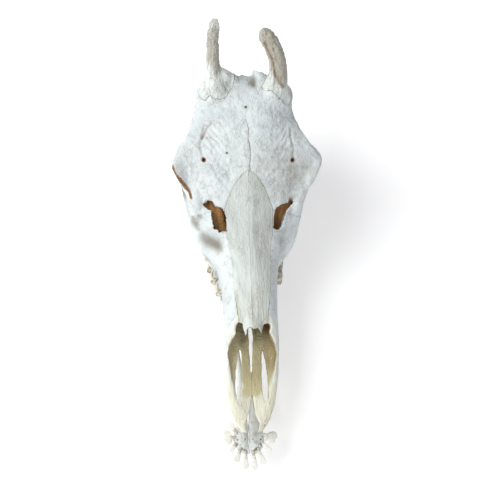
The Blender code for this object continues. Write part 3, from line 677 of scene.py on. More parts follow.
def work_cranium(skin):
    skull, across, back, up = skin.skull, skin.across, skin.back, skin.up
    roof = smooth_step(0.2, 0.6, skin.normals[:, 2])
    skin.moves += 0.6 * soft_noise(skull, 17, 3) + 0.42 * creases(skull, 7.5, 4)
    skin.moves += 0.28 * soft_noise(skull, 4, 5)
    # The two frontal swellings, and the hollow between them along the middle.
    for x, y, rise, wide in ((-27, 428, 2.2, 24), (33, 426, 1.8, 22), (-14, 480, 1.2, 14), (16, 480, 1.0, 14)):
        skin.moves += rise * roof * bell(np.hypot(across - x, back - y), wide)
    # Crumpled relief in front of the brow foramina.
    front = roof * bell(np.hypot((np.abs(across) - 46) / 28, (back - 383) / 20), 1)
    skin.moves += front * (1.2 * soft_noise(skull, 5, 8) + 0.9 * creases(skull, 6.5, 9))
    # Fan of wrinkles beside the right brow groove, and a looser one on the left.
    for x, y, wide, long, turn in ((-55, 425, 17, 26, 0.7), (58, 428, 12, 24, -0.6)):
        aside = (across - x) * math.cos(turn) + (back - y) * math.sin(turn)
        fan = roof * bell(np.hypot((across - x) / wide, (back - y) / long), 1)
        skin.moves += 0.75 * fan * np.sin(aside / 1.25 + 2.5 * soft_noise(skull, 9, 10))
    for path in BROW_GROOVES:
        skin.groove(path, depth=2.2, width=2.1, tint=0.32)
    for path in FINE_GROOVES:
        skin.groove(path, depth=0.75, width=1.5)
    for path in CORONAL_SUTURES:
        skin.groove(path, depth=0.35, width=1.3)
    skin.crack(MEDIAN_SUTURE, depth=0.5, width=1.3)
    skin.crack(OPEN_CRACK, depth=0.9, width=1.1, tint=0.3)
    # The front margin of the right eye socket keeps a brown rim.
    away = line_distance(skull, SOCKET_MARGIN)
    skin.moves -= 1.4 * bell(away, 4)
    skin.stain += 0.95 * bell(away, 4.6)
    for hole in FORAMINA:
        skin.pit(*hole)
    # Rough lip where the horns are seated, and coarse bone behind.
    for x, y in ((-47, 500), (45, 500)):
        lip = bell(np.hypot(across - x, back - y) - 30, 11)
        skin.moves += lip * (0.7 * soft_noise(skull, 4, 12) + 0.5 * soft_noise(skull, 9, 13))
    behind = smooth_step(505, 530, back)
    skin.moves += behind * (0.9 * soft_noise(skull, 9, 15) + 0.4 * soft_noise(skull, 4, 16))
    # The outer corner of the right brow stands further forward than the left one.
    brow = smooth_step(190, 212, up)
    corner = brow * bell(np.hypot((across + 116) / 17, (back - 402) / 24), 1)
    behind = brow * bell(np.hypot((across + 116) / 17, (back - 432) / 15), 1)
    skin.shift[:, 1] -= 15 * corner
    skin.shift[:, 0] += 5 * behind - 1.5 * corner
    # The crest between the horns runs back into a thin ledge, with a pit sunk in front of its boss.
    ledge = np.exp(-((across - 3) / 11) ** 4) * smooth_step(500, 515, back)
    skin.shift[:, 1] += 13 * ledge * smooth_step(254, 272, up)
    skin.moves -= 4 * bell(np.hypot((across - 11) / 1.5, back - 508), 4.5) * (up > 250)
    # Grey patches: painted shade over the animal's left and behind the crest, with grime and painted shade
    # together at the outer margin.
    skin.soil += spots(skull, CRANIUM_SHADE_AND_GRIME)


def work_nasal(skin):
    skull, across, back = skin.skull, skin.across, skin.back
    skin.moves += 0.18 * soft_noise(skull * (1, 0.12, 1), 3, 21) + 0.3 * soft_noise(skull, 14, 22)
    # A grey cast over the whole bone, with painted shade added over the animal's left half further back.
    skin.soil += 0.17 + 0.22 * smooth_step(-2, 9, across) * smooth_step(190, 300, back)
    skin.tone += 0.3 * smooth_step(290, 190, back)
    for path in NASAL_STAINS:
        skin.stain += 0.4 * bell(path_distance(skull, path)[0], 2.0)


def root_swellings(skin, last, end):
    """Ridges over the roots of the cheek teeth, about two to a molar, fading from the last one to the end."""
    ends = smooth_step(232, 246, skin.back) * smooth_step(end, last, skin.back)
    return ends * np.cos(2 * math.pi * (skin.back - UPPER_START) / ROOT_SPACING)


def work_maxilla(skin):
    skull, across, back, up = skin.skull, skin.across, skin.back, skin.up
    skin.moves += 0.5 * soft_noise(skull, 15, 31) + 0.3 * creases(skull, 7.5, 4)
    skin.moves += 0.28 * soft_noise(skull, 4, 32)
    # Hollow in the cheek in front of each window, and torn bone outside the right one.
    skin.moves -= spots(skull, ((-57, 289, 160, 15, 4.6), (54, 297, 160, 13, 3.0)))
    torn = bell(np.linalg.norm((skull - (-79, 334, 160)) * (1, 0.8, 0.8), axis=1), 15)
    skin.moves += torn * (0.9 * creases(skull, 5, 33) + 0.7 * soft_noise(skull, 2.6, 34))
    # The infraorbital foramen on each side, with its groove forwards.
    for side in (-1, 1):
        skin.pit(side * 50, 232, 108, 3.4)
        away = np.hypot((back - 214) / 16, (up - 106) / 3.0) + np.where(side * across > 0, 0, 9)
        skin.moves -= bell(away, 1)
    skin.moves += 0.8 * smooth_step(96, 84, up) * root_swellings(skin, 376, 392)
    line_snout(skin)
    # Grey patches: painted shade in the cheek hollows and along the tooth rows, with grime and painted shade
    # together at the torn outer margin.
    skin.soil += spots(skull, MAXILLA_SHADE_AND_GRIME)


def line_snout(skin):
    """Tan lining on the walls and floor of the open snout, browner along its sides and under the nasals. On the
    animal's right, where the wall faces away from the key light, it is painted a lighter cream that stands in
    for light, and the lining keeps as little as a quarter of the painted cavity shade.
    """
    skull, across, back = skin.skull, skin.across, skin.back
    inward = smooth_step(0.05, 0.5, -skin.normals[:, 0] * np.sign(across))
    floor = smooth_step(107, 94, skin.up + 3 * soft_noise(skull, 9, 45)) * smooth_step(34, 28, np.abs(across))
    front = smooth_step(26, 68, back + 14 * soft_noise(skull, 13, 44) - 1.4 * np.abs(across))
    lining = np.maximum(inward, floor) * smooth_step(215, 190, back) * front
    side = np.maximum(0.42 * smooth_step(12, 25, across), 0.3 * smooth_step(-14, -24, across))
    right = smooth_step(-10, -24, across)
    # Less tan and more cream on the wall on the animal's right, which lies in shade: painted light.
    skin.tone += lining * (1 - 0.45 * right)
    skin.cream += 0.8 * lining * right
    skin.stain += lining * (side * smooth_step(85, 110, back) + 0.3 * smooth_step(158, 180, back))
    # The lining keeps as little as a quarter of the painted cavity shade.
    skin.shade -= 0.75 * lining


def work_premaxilla(skin):
    skull, back = skin.skull, skin.back
    skin.moves += 0.35 * soft_noise(skull * (1, 0.2, 1), 3, 41) + 0.3 * soft_noise(skull, 8, 42)
    line_snout(skin)
    skin.cream = np.maximum(skin.cream, 0.34 * smooth_step(104, 62, back))
    for hole in SNOUT_FORAMINA:
        skin.pit(*hole)


def work_horn(skin):
    """Horn core: furrowed foot, knobs along one edge, and a cauliflower tip."""
    skull, across, back, up = skin.skull, skin.across, skin.back, skin.up
    right = across < 0
    foot = smooth_step(306, 272, up)
    tip = smooth_step(318, 340, up)
    axis_x = np.where(right, -52.0, np.interp(up, (260, 290, 309, 325, 338, 344), (43, 50, 47, 37, 26, 19)))
    axis_y = np.interp(up, (260, 290, 313, 334, 350), (500, 519, 538, 557, 574))
    turn = np.arctan2(back - axis_y, across - axis_x)
    furrow = np.column_stack((np.cos(turn) * 14, np.sin(turn) * 14, up * 0.13))
    skin.moves += foot * (0.8 * soft_noise(furrow, 2.6, 51) + 0.7 * creases(furrow, 4.2, 56))
    skin.moves += (0.45 + 0.8 * tip) * soft_noise(skull, 4.5, 52) + 0.5 * soft_noise(skull, 9, 53)
    skin.moves += (0.25 + 0.6 * tip) * soft_noise(skull, 2.4, 54) - 0.35
    # Knobs and spines along the edge that faces the middle on the bent horn, and the outer one on the straight.
    edge = smooth_step(0.55, 0.95, -np.cos(turn)) * smooth_step(283, 296, up)
    skin.moves += 1.3 * edge * np.clip(soft_noise(skull, 3.6, 57), -0.2, 1)
    start = np.where(right, 286, 274)
    skin.tone += 0.8 * smooth_step(start, start + 28, up + 9 * soft_noise(skull, 12, 58))
    skin.tone += 0.55 * soft_noise(furrow, 3, 59) * (1 - foot)
    skin.tone -= 0.3 * right * smooth_step(335, 350, up)
    skin.stain += 0.35 * smooth_step(0.25, 0.9, soft_noise(skull, 11, 55)) * smooth_step(290, 310, up)
    skin.stain += 0.6 * (across > 0) * bell(line_distance(skull, HORN_FISSURE), 4.5)
    skin.pit(57, 527, 300, 2.2)


def work_mandible(skin):
    skull, back, up = skin.skull, skin.back, skin.up
    skin.moves += 0.45 * soft_noise(skull, 16, 61) + 0.3 * soft_noise(skull, 6, 62)
    # Rough muscle field on the angle, and pitted bone with the front teeth's sockets at the other end.
    angle = smooth_step(455, 490, back) * smooth_step(110, 60, up)
    skin.moves += angle * 0.8 * soft_noise(skull * (1, 0.5, 1), 5, 63)
    for side in (-1, 1):
        for x, y, z, radius in JAW_PITS:
            skin.pit(side * x, y, z, radius)
        for x, y, z in SOCKETS:
            away = skin.near(side * x, y, z)
            skin.moves += 0.8 * bell(away - 5, 1.8) - 1.3 * bell(away, 3.0)
            skin.stain += 0.75 * bell(away, 3.4)
    chin = smooth_step(26, 6, back)
    skin.moves += chin * (0.45 * soft_noise(skull, 3, 64) + 0.5 * soft_noise(skull, 7, 65))
    skin.moves += 0.6 * smooth_step(40, 47, up) * root_swellings(skin, 384, 398)
    # Painted shade in grey on the animal's left of the jaw's front.
    skin.soil += spots(skull, JAW_PAINTED_SHADE)
    # The jaw keeps only about a third of the painted cavity shade.
    skin.shade -= 0.65


# Teeth.

def tooth_start(name, segments, rings):
    """A ball to shape, with each vertex's share of the way down it and its turn round it."""
    deselect_all()
    bpy.ops.mesh.primitive_uv_sphere_add(segments=segments, ring_count=rings, radius=1)
    tooth = bpy.context.active_object
    rename(tooth, name)
    x, y, z = vertex_places(tooth.data).T
    return tooth, np.arccos(np.clip(z, -1, 1)) / math.pi, np.arctan2(y, x)


def cheek_tooth(name, centre, half_long, half_wide, root, crown, side, lobes):
    """Crescent-cusped molar: ribbed outside, cleft inside, with sunk crescents on its worn table."""
    tooth, polar, turn = tooth_start(name, 44, 26)
    across = np.sign(np.cos(turn)) * np.abs(np.cos(turn)) ** 0.5
    length = np.sign(np.sin(turn)) * np.abs(np.sin(turn)) ** 0.5
    # The table is the ball's top, and the wall is the rest of it, which draws in to a closed root.
    table = 0.46
    on_wall = polar > table
    reach = np.where(on_wall, 1, polar / table)
    fall = np.clip((polar - table) / (1 - table), 0, 1)
    wall = np.where(on_wall, 1 - 0.14 * fall ** 2, reach)
    wall *= rounded((np.clip(fall - 0.85, 0, 1) / 0.15) ** 2)
    # p runs across the tooth and q along it, each from -1 to 1.
    p = across * wall
    q = length * wall
    lobe = ((q + 1) / 2 * lobes) % 1 * 2 - 1
    # Styles stand at the ends of each lobe outside and a rib in its middle, and clefts part the lobes inside.
    outside = np.clip(across, 0, 1) * np.where(on_wall, 1, reach ** 2)
    inside = np.clip(-across, 0, 1) * np.where(on_wall, 1, reach ** 2)
    style = bell(np.abs(lobe) - 1, 0.16)
    cleft = bell(np.abs(lobe) - 1, 0.3) * (np.abs(q) < 0.9)
    x = half_wide * p + outside * (1.5 * style + 0.5 * bell(lobe, 0.22) - 0.9) + 2.6 * inside * cleft
    y = half_long * q
    arch = 1 - lobe ** 2
    sunk = 3.0 * bell(p - 0.42 + 0.34 * lobe ** 2, 0.13) + 2.2 * bell(p + 0.28 - 0.3 * lobe ** 2, 0.13)
    sunk *= smooth_step(0, 0.35, arch)
    basin = 0.8 * bell(p - 0.08, 0.15)
    rise = 1.2 * arch * (0.5 + 0.5 * np.clip(p, -1, 1)) - 1.4
    up_sign = 1 if crown > root else -1
    top = crown + up_sign * np.where(on_wall, rise, rise - (sunk + basin) * smooth_step(1.0, 0.86, reach))
    z = np.where(on_wall, top + (root - top) * fall, top)
    places = np.column_stack((centre[0] + side * x, centre[1] + y, z))
    set_vertex_places(tooth.data, to_frame(places))
    write_attribute(tooth.data, "hollow", np.where(on_wall, 0.25 * fall, np.clip(sunk / 2.2, 0, 1)))
    stained = np.where(on_wall, 0.3 + 0.5 * cleft, 0.3 + 0.5 * basin) + 0.5 * soft_noise(places, 7, 91)
    write_attribute(tooth.data, "stain", np.clip(stained, 0, 1))
    return tooth


def cheek_row(label, teeth, start, line, side, root, crown):
    """A row of cheek teeth from start backwards, in one piece."""
    made = []
    for name, length, width, lobes in teeth:
        middle = start + length / 2
        centre = (side * np.interp(middle, *line), middle)
        half_long, half_wide = length / 2 + 0.25, width / 2 + 0.3
        made.append(cheek_tooth(f"{label}_{name}", centre, half_long, half_wide, root, crown, side, lobes))
        start += length + TOOTH_GAP
    row = join(made[0], made[1:])
    rename(row, label)
    make_outward(row)
    smooth_faces(row.data)
    return row


def front_tooth(name, root, tip, wide, lobes):
    """Spade-shaped front tooth: slim neck, flaring crown, hollow tongue side. A canine has two lobes."""
    tooth, polar, turn = tooth_start(name, 28, 26)
    root, tip = np.array(root, float), np.array(tip, float)
    way = tip - root
    across = np.array((way[1], -way[0], 0.0))
    across /= np.linalg.norm(across)
    over = np.cross(across, way / np.linalg.norm(way))
    over *= np.sign(over[2])
    # u runs from the root to the tip, and a and b across the tooth and out of its two faces.
    u = 1 - polar
    a, b = np.cos(turn), np.sin(turn)
    flare = smooth_step(0.18, 0.88, u)
    rim = np.clip((u - 0.8) / 0.2, 0, 1)
    half = (NECK_WIDE + (wide - NECK_WIDE) * flare) * rounded(rim ** 2.6)
    if lobes == 2:
        leaf = wide * rounded(((u - 0.67) / 0.33) ** 2)
        half = np.maximum(leaf, 2.8 * smooth_step(0.75, 0.45, u))
    deep = (NECK_THICK + (TIP_THICK - NECK_THICK) * smooth_step(0.3, 0.95, u)) * rounded(rim ** 4)
    butt = rounded((1 - np.clip(u / 0.08, 0, 1)) ** 2)
    half, deep = half * butt, deep * butt
    q = a * half / wide
    along = u.copy()
    if lobes == 2:
        along -= 0.1 * bell(q - 0.05, 0.13) * smooth_step(0.75, 1.0, u)
    dish = -0.9 * flare * (1 - q ** 2) * (b > 0)
    raised = b * deep + dish + TOOTH_LIFT * np.sin(math.pi * along)
    places = root + way * along[:, None] + across * (a * half)[:, None] + over * raised[:, None]
    set_vertex_places(tooth.data, to_frame(places))
    write_attribute(tooth.data, "hollow", 0.35 * smooth_step(0.45, 0.3, u))
    write_attribute(tooth.data, "stain", 0.5 * smooth_step(0.55, 0.35, u) + 0.3 * bell(u - 0.5, 0.05))
    make_outward(tooth)
    smooth_faces(tooth.data)
    return tooth


# Paint.

def add_node(tree, kind, inputs=None, **settings):
    """One shader node with its settings, values and links.

    A hex string is a colour, and a node gives its first output.
    """
    made = tree.nodes.new(kind)
    for name, value in settings.items():
        setattr(made, name, value)
    for name, value in (inputs or {}).items():
        if isinstance(value, bpy.types.Node):
            value = [socket for socket in value.outputs if socket.enabled][0]
        if isinstance(value, bpy.types.NodeSocket):
            tree.links.new(value, made.inputs[name])
        else:
            made.inputs[name].default_value = (*colour(value), 1) if isinstance(value, str) else value
    return made


def new_paint(name):
    """An empty material with its node tree and shader."""
    made = bpy.data.materials.new(name)
    made.use_nodes = True
    return made, made.node_tree, made.node_tree.nodes["Principled BSDF"]


def connect(tree, shader, face, gloss, bump):
    tree.links.new(face.outputs[2], shader.inputs["Base Color"])
    tree.links.new(gloss.outputs[0], shader.inputs["Roughness"])
    tree.links.new(bump.outputs[0], shader.inputs["Normal"])


def bone_material(name, tints, stretch=(1, 1, 1), coarse=1.0):
    """Dry cleaned bone: chalky and matt, faintly porous, with warm staining and cream, with grey patches of
    grime and painted shade, and with painted shade in its brown cavities.
    """
    light, main, warm, tan, deep, rust = tints
    # Cream, which on a shaded wall is also painted light, and the grey of grime and painted shade.
    cream_and_painted_light, grey_of_shade_and_grime = "#E9DFB2", "#87847B"
    made, tree, shader = new_paint(name)
    math_node, range_node, mix_node = "ShaderNodeMath", "ShaderNodeMapRange", "ShaderNodeMix"
    smooth = {"interpolation_type": "SMOOTHSTEP"}
    where = add_node(tree, "ShaderNodeTexCoord").outputs["Object"]
    grained = add_node(tree, "ShaderNodeMapping", {"Vector": where, "Scale": stretch})
    # Mottling in patches 55 mm and 12 mm across, grain of 2.6 mm and pores of 0.9 mm.
    broad = add_node(tree, "ShaderNodeTexNoise", {"Vector": where, "Scale": 1000 / 55, "Detail": 2})
    patch = add_node(tree, "ShaderNodeTexNoise", {"Vector": grained, "Scale": 1000 / 12, "Detail": 4})
    grain = add_node(tree, "ShaderNodeTexNoise", {"Vector": grained, "Scale": 1000 / 2.6, "Detail": 3})
    pores = add_node(tree, "ShaderNodeTexNoise", {"Vector": where, "Scale": 1000 / 0.9, "Detail": 2})
    face = light
    for pattern, start, full, strength, tint in ((broad, 0.35, 0.68, 1.0, main), (patch, 0.48, 0.8, 0.32, warm),
                                                 (grain, 0.52, 0.78, 0.35, warm)):
        part = add_node(tree, range_node, {0: pattern, 1: start, 2: full, 4: strength}, **smooth)
        face = add_node(tree, mix_node, {0: part, 6: face, 7: tint}, data_type="RGBA")
    # What the surface noted, made uneven by a pattern: tan bone, cream that is also painted light on a shaded
    # wall, grey grime with painted shade, brown cavities with painted shade, and stained rims.
    for note, pattern, uneven, start, full, shape, tint in (
            ("tone", patch, 0.5, 0.4, 1.1, "SMOOTHSTEP", tan),
            ("cream", patch, 0.3, 0.15, 1.1, "LINEAR", cream_and_painted_light),
            ("soil", patch, 0.4, 0.14, 1.14, "SMOOTHSTEP", grey_of_shade_and_grime),
            ("hollow", patch, 0.35, 0.54, 0.96, "SMOOTHSTEP", deep),
            ("stain", grain, 0.4, 0.34, 1.0, "SMOOTHSTEP", rust)):
        noted = add_node(tree, "ShaderNodeAttribute", attribute_name=note).outputs["Fac"]
        noted = add_node(tree, math_node, {0: pattern, 1: uneven, 2: noted}, operation="MULTIPLY_ADD")
        part = add_node(tree, range_node, {0: noted, 1: start, 2: full}, interpolation_type=shape)
        face = add_node(tree, mix_node, {0: part, 6: face, 7: tint}, data_type="RGBA")
    # A wandering hairline follows the suture and the crack that are drawn, and a thin stain the other sutures.
    side, near, suture = (add_node(tree, "ShaderNodeAttribute", attribute_name=note).outputs["Fac"]
                          for note in ("line_side", "line_near", "suture"))
    wander = add_node(tree, "ShaderNodeTexNoise", {"Vector": where, "Scale": 1000 / 2.2, "Detail": 2})
    wander = add_node(tree, math_node, {0: wander, 1: 2.4, 2: -1.2}, operation="MULTIPLY_ADD")
    line = add_node(tree, math_node, {0: side, 1: wander}, operation="ADD")
    line = add_node(tree, math_node, {0: line}, operation="ABSOLUTE")
    line = add_node(tree, range_node, {0: line, 1: 0.0, 2: 0.75, 3: 1.0, 4: 0.0}, **smooth)
    close = add_node(tree, range_node, {0: near, 1: 1.6, 2: 3.0, 3: 0.5, 4: 0.0}, **smooth)
    line = add_node(tree, math_node, {0: line, 1: close}, operation="MULTIPLY")
    joined = add_node(tree, range_node, {0: suture, 1: 0.72, 2: 0.97, 4: 0.45}, **smooth)
    broken = add_node(tree, range_node, {0: patch, 1: 0.3, 2: 0.6}, **smooth)
    joined = add_node(tree, math_node, {0: joined, 1: broken}, operation="MULTIPLY")
    # Fine drying crackle, its cells about 8 mm apart and bent out of line.
    bent = add_node(tree, "ShaderNodeTexNoise", {"Vector": where, "Scale": 160.0}).outputs["Color"]
    bent = add_node(tree, "ShaderNodeVectorMath", {0: bent, 1: (0.006, 0.006, 0.006), 2: where},
                    operation="MULTIPLY_ADD")
    cells = add_node(tree, "ShaderNodeTexVoronoi", {"Vector": bent, "Scale": 1000 / 8},
                     feature="DISTANCE_TO_EDGE")
    crackle = add_node(tree, range_node, {0: cells, 1: 0.0, 2: 0.09, 3: 1.0, 4: 0.0}, **smooth)
    broken = add_node(tree, range_node, {0: patch, 1: 0.42, 2: 0.62}, **smooth)
    crackle = add_node(tree, math_node, {0: crackle, 1: broken}, operation="MULTIPLY")
    faint = add_node(tree, math_node, {0: crackle, 1: 0.16}, operation="MULTIPLY")
    for part, tint in ((line, rust), (joined, rust), (faint, warm)):
        face = add_node(tree, mix_node, {0: part, 6: face, 7: tint}, data_type="RGBA")
    gloss = add_node(tree, range_node, {0: patch, 1: 0.3, 2: 0.7, 3: 0.52, 4: 0.72}, **smooth)
    # The relief in millimetres: swells, grain and pores, with the cracks sunk.
    height = 0.0
    for pattern, rise in ((pores, 0.35 * coarse), (grain, 1.3 * coarse), (patch, 2.6 * coarse), (line, -1.6),
                          (crackle, -0.55)):
        height = add_node(tree, math_node, {0: pattern, 1: rise, 2: height}, operation="MULTIPLY_ADD")
    bump = add_node(tree, "ShaderNodeBump", {"Height": height, "Strength": 1.0, "Distance": 0.001})
    connect(tree, shader, face, gloss, bump)
    shader.inputs["Specular IOR Level"].default_value = 0.35
    return made


def enamel_material(name, white, cream, brown):
    """Tooth enamel: hard and half glossy, creamy, with brown where it meets the gum line and in its pits."""
    made, tree, shader = new_paint(name)
    math_node, range_node, mix_node = "ShaderNodeMath", "ShaderNodeMapRange", "ShaderNodeMix"
    where = add_node(tree, "ShaderNodeTexCoord").outputs["Object"]
    hollow, stain = (add_node(tree, "ShaderNodeAttribute", attribute_name=note).outputs["Fac"]
                     for note in ("hollow", "stain"))
    # Mottling 5 mm across, and a fine unevenness of 1.1 mm.
    patch = add_node(tree, "ShaderNodeTexNoise", {"Vector": where, "Scale": 1000 / 5, "Detail": 4})
    fine = add_node(tree, "ShaderNodeTexNoise", {"Vector": where, "Scale": 1000 / 1.1, "Detail": 3})
    stained = add_node(tree, math_node, {0: patch, 1: 0.9, 2: stain}, operation="MULTIPLY_ADD")
    face = white
    for pattern, start, full, tint in ((patch, 0.35, 0.7, cream), (stained, 0.65, 1.35, brown),
                                       (hollow, 0.3, 0.9, "#5A4128")):
        part = add_node(tree, range_node, {0: pattern, 1: start, 2: full})
        face = add_node(tree, mix_node, {0: part, 6: face, 7: tint}, data_type="RGBA")
    gloss = add_node(tree, range_node, {0: patch, 1: 0.3, 2: 0.7, 3: 0.28, 4: 0.42})
    height = add_node(tree, math_node, {0: fine, 1: 0.3, 2: patch}, operation="MULTIPLY_ADD")
    bump = add_node(tree, "ShaderNodeBump", {"Height": height, "Strength": 0.4, "Distance": 0.0008})
    connect(tree, shader, face, gloss, bump)
    return made


def tint_property(name, description, code):
    return FloatVectorProperty(name=name, description=description, subtype="COLOR", size=3, min=0, max=1,
                               default=colour(code))


class SkullFinish(bpy.types.PropertyGroup):
    """Colours and surface sizes of the skull."""
    cranium: tint_property("Cranium", "Colour of the forehead and brain case", "#CAD1D2")
    nasal: tint_property("Nasal", "Colour of the nasal bones", "#CDD4D0")
    maxilla: tint_property("Maxilla", "Colour of the cheek bones", "#CAD1D2")
    premaxilla: tint_property("Premaxilla", "Colour of the snout's front bones", "#D6D8CF")
    horn: tint_property("Horn", "Colour of the horn cores", "#ABA79B")
    jaw: tint_property("Jaw", "Colour of the lower jaw", "#D6DAD8")
    skin: FloatProperty(name="Skin size", default=1.75, min=1.2, max=6, subtype="UNSIGNED",
                        description="Edge length of the forehead's surface mesh, in millimetres")


class StudioSettings(bpy.types.PropertyGroup):
    """Light and floor."""
    floor: tint_property("Floor", "Colour of the floor", "#FFFFFF")
    glow: FloatProperty(name="Floor glow", default=0.3, min=0,
                        description="Light from the floor itself, which keeps its shadows pale")
    key: FloatProperty(name="Key light", default=49, min=0, unit="POWER",
                       description="Power of the large soft light")
    fill: FloatProperty(name="Fill light", default=14, min=0, unit="POWER",
                        description="Power of the weaker lights")
    sky: FloatProperty(name="Sky", default=0.34, min=0, description="Brightness of the light from all round")


def bone_finish(kind):
    """Dry bone for one kind of bone, made the first time it is asked for."""
    settings = bpy.context.scene.skull_finish
    name = f"dry_{kind}_bone"
    if name in bpy.data.materials:
        return bpy.data.materials[name]
    # Light, main and warm bone, tan, the brown of cavities that also carries their painted shade, and the rust
    # of stained rims.
    tints = {
        "cranium": ("#DDE4E4", hex_of(settings.cranium), "#C8C9C3", "#C9C3B0", "#B98A5A", "#7A5226"),
        "nasal": ("#D9E0DC", hex_of(settings.nasal), "#CACFC8", "#C4B98E", "#B08A5C", "#9A7F48"),
        "maxilla": ("#DDE4E4", hex_of(settings.maxilla), "#C8C9C1", "#ACA37E", "#8E7654", "#7C5A30"),
        "premaxilla": ("#E2E5DE", hex_of(settings.premaxilla), "#D4D0BE", "#ACA37E", "#8E7654", "#7C5A30"),
        "horn": ("#DFE4E3", "#CDD2CF", "#A9A694", hex_of(settings.horn), "#7A6444", "#6E5432"),
        "jaw": ("#E6EAE9", hex_of(settings.jaw), "#C3BCA8", "#B8AC8E", "#8A6A40", "#6A4826"),
    }
    stretch = {"nasal": (1, 0.12, 1), "premaxilla": (1, 0.25, 1), "horn": (1, 0.5, 0.4), "jaw": (1, 0.4, 1)}
    return bone_material(name, tints[kind], stretch.get(kind, (1, 1, 1)), 1.6 if kind == "horn" else 1.0)


# Pieces.

def settle(piece, nodes, material):
    """Gives a finished piece its finish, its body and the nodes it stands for."""
    piece.data.materials.clear()
    piece.data.materials.append(material)
    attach(piece, "root")
    if nodes:
        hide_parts(*nodes)


def bone_from(node, kind, work, voxel, rounds, cuts=(), added=()):
    """A finished bone from its node's solid, with boxes cut away and forms added before it gets its skin."""
    piece = copy_of_node(node, f"{node}_bone")
    for low, high in cuts:
        cut_box(piece, low, high)
    if added:
        join(piece, added)
    fine_skin(piece, voxel)
    finish_bone(piece, node, rounds, work)
    settle(piece, [node], bone_finish(kind))


class SKULL_OT_cranium(bpy.types.Operator):
    """Make the forehead, eye sockets and brain case"""
    bl_idname = "skull.cranium"
    bl_label = "Cranium"

    def execute(self, context):
        bone_from("cranium", "cranium", work_cranium, voxel=context.scene.skull_finish.skin,
                  rounds=26)
        return {"FINISHED"}


class SKULL_OT_face(bpy.types.Operator):
    """Make the nasal bones, the cheek bones and the front of the snout"""
    bl_idname = "skull.face"
    bl_label = "Face bones"

    def execute(self, context):
        for side, _ in SIDES:
            bone_from(f"nasal_{side}", "nasal", work_nasal, voxel=1.0, rounds=24)
            bone_from(f"maxilla_{side}", "maxilla", work_maxilla, voxel=1.3, rounds=26,
                      cuts=UPPER_CUT)
            bone_from(f"premaxilla_{side}", "premaxilla", work_premaxilla, voxel=0.9,
                      rounds=24)
        return {"FINISHED"}


class SKULL_OT_scrolls(bpy.types.Operator):
    """Make the thin rolled bones that are seen through the windows of the face"""
    bl_idname = "skull.scrolls"
    bl_label = "Nasal scrolls"

    def execute(self, context):
        # Thin bone that no light has bleached: warm brown and matt, streaked along each roll.
        tints = ("#D2A36C", "#C0905A", "#A87842", "#B98A54", "#A8764A", "#7A5024")
        thin = bone_material("thin_scroll_bone", tints, (1, 0.3, 1))
        for name, side in SIDES:
            rolls = []
            for roll in SCROLLS:
                rolls.append(limb("roll", [(side * x, y, z, wide, tall) for x, y, z, wide, tall in roll]))
            piece = join(rolls[0], rolls[1:])
            rename(piece, f"nasal_scroll_{name}")
            fine_skin(piece, 1.0)
            keep_main_body(piece)
            mesh = piece.data
            places = relax(vertex_places(mesh), edge_ends(mesh), 10, np.ones(len(mesh.vertices)))
            set_vertex_places(mesh, places)
            skull = to_skull(places)
            bumps = 0.8 * soft_noise(skull * (1, 0.3, 1), 4, 71) + 0.6 * creases(skull * (1, 0.4, 1), 7, 72)
            set_vertex_places(mesh, places + vertex_normals(mesh) * bumps[:, None] * MM)
            smooth_faces(mesh)
            settle(piece, [], thin)
        return {"FINISHED"}


class SKULL_OT_horns(bpy.types.Operator):
    """Make the two rough horn cores"""
    bl_idname = "skull.horns"
    bl_label = "Horn cores"

    def execute(self, context):
        for side, _ in SIDES:
            bone_from(f"ossicone_{side}", "horn", work_horn, voxel=0.85, rounds=12)
        return {"FINISHED"}


class SKULL_OT_jaw(bpy.types.Operator):
    """Make the two halves of the lower jaw, each with its bare plate in front"""
    bl_idname = "skull.jaw"
    bl_label = "Lower jaw"

    def execute(self, context):
        for name, side in SIDES:
            stations = [(side * (wide / 2 + 0.4), y, z, wide / 2, tall) for y, wide, z, tall in JAW_PLATE]
            plate = limb("plate", stations)
            bone_from(f"mandible_{name}", "jaw", work_mandible, voxel=1.3, rounds=24,
                      cuts=LOWER_CUTS, added=[plate])
        return {"FINISHED"}


class SKULL_OT_cheek_teeth(bpy.types.Operator):
    """Make the four rows of cheek teeth"""
    bl_idname = "skull.cheek_teeth"
    bl_label = "Cheek teeth"

    def execute(self, context):
        enamel = enamel_material("cheek_enamel", "#DEDBD0", "#B8B098", "#6E5A3A")
        for name, side in SIDES:
            upper = cheek_row(f"upper_teeth_{name}", UPPER_TEETH, UPPER_START, UPPER_LINES[name], side,
                              UPPER_ROOT, BITE + 0.2)
            settle(upper, [f"maxilla_{name}"], enamel)
            lower = cheek_row(f"lower_teeth_{name}", LOWER_TEETH, LOWER_START, LOWER_LINE, side,
                              LOWER_ROOT, BITE - 0.2)
            settle(lower, [f"mandible_{name}"], enamel)
        return {"FINISHED"}


class SKULL_OT_front_teeth(bpy.types.Operator):
    """Make the splayed front teeth of the lower jaw"""
    bl_idname = "skull.front_teeth"
    bl_label = "Front teeth"

    def execute(self, context):
        enamel = enamel_material("front_enamel", "#F6F8F5", "#EAE9DD", "#9A8A62")
        for name, root, tip, wide, lobes in FRONT_TEETH:
            tooth = front_tooth(name, root, tip, wide, lobes)
            settle(tooth, ["mandible_" + name.split("_")[1]], enamel)
        return {"FINISHED"}


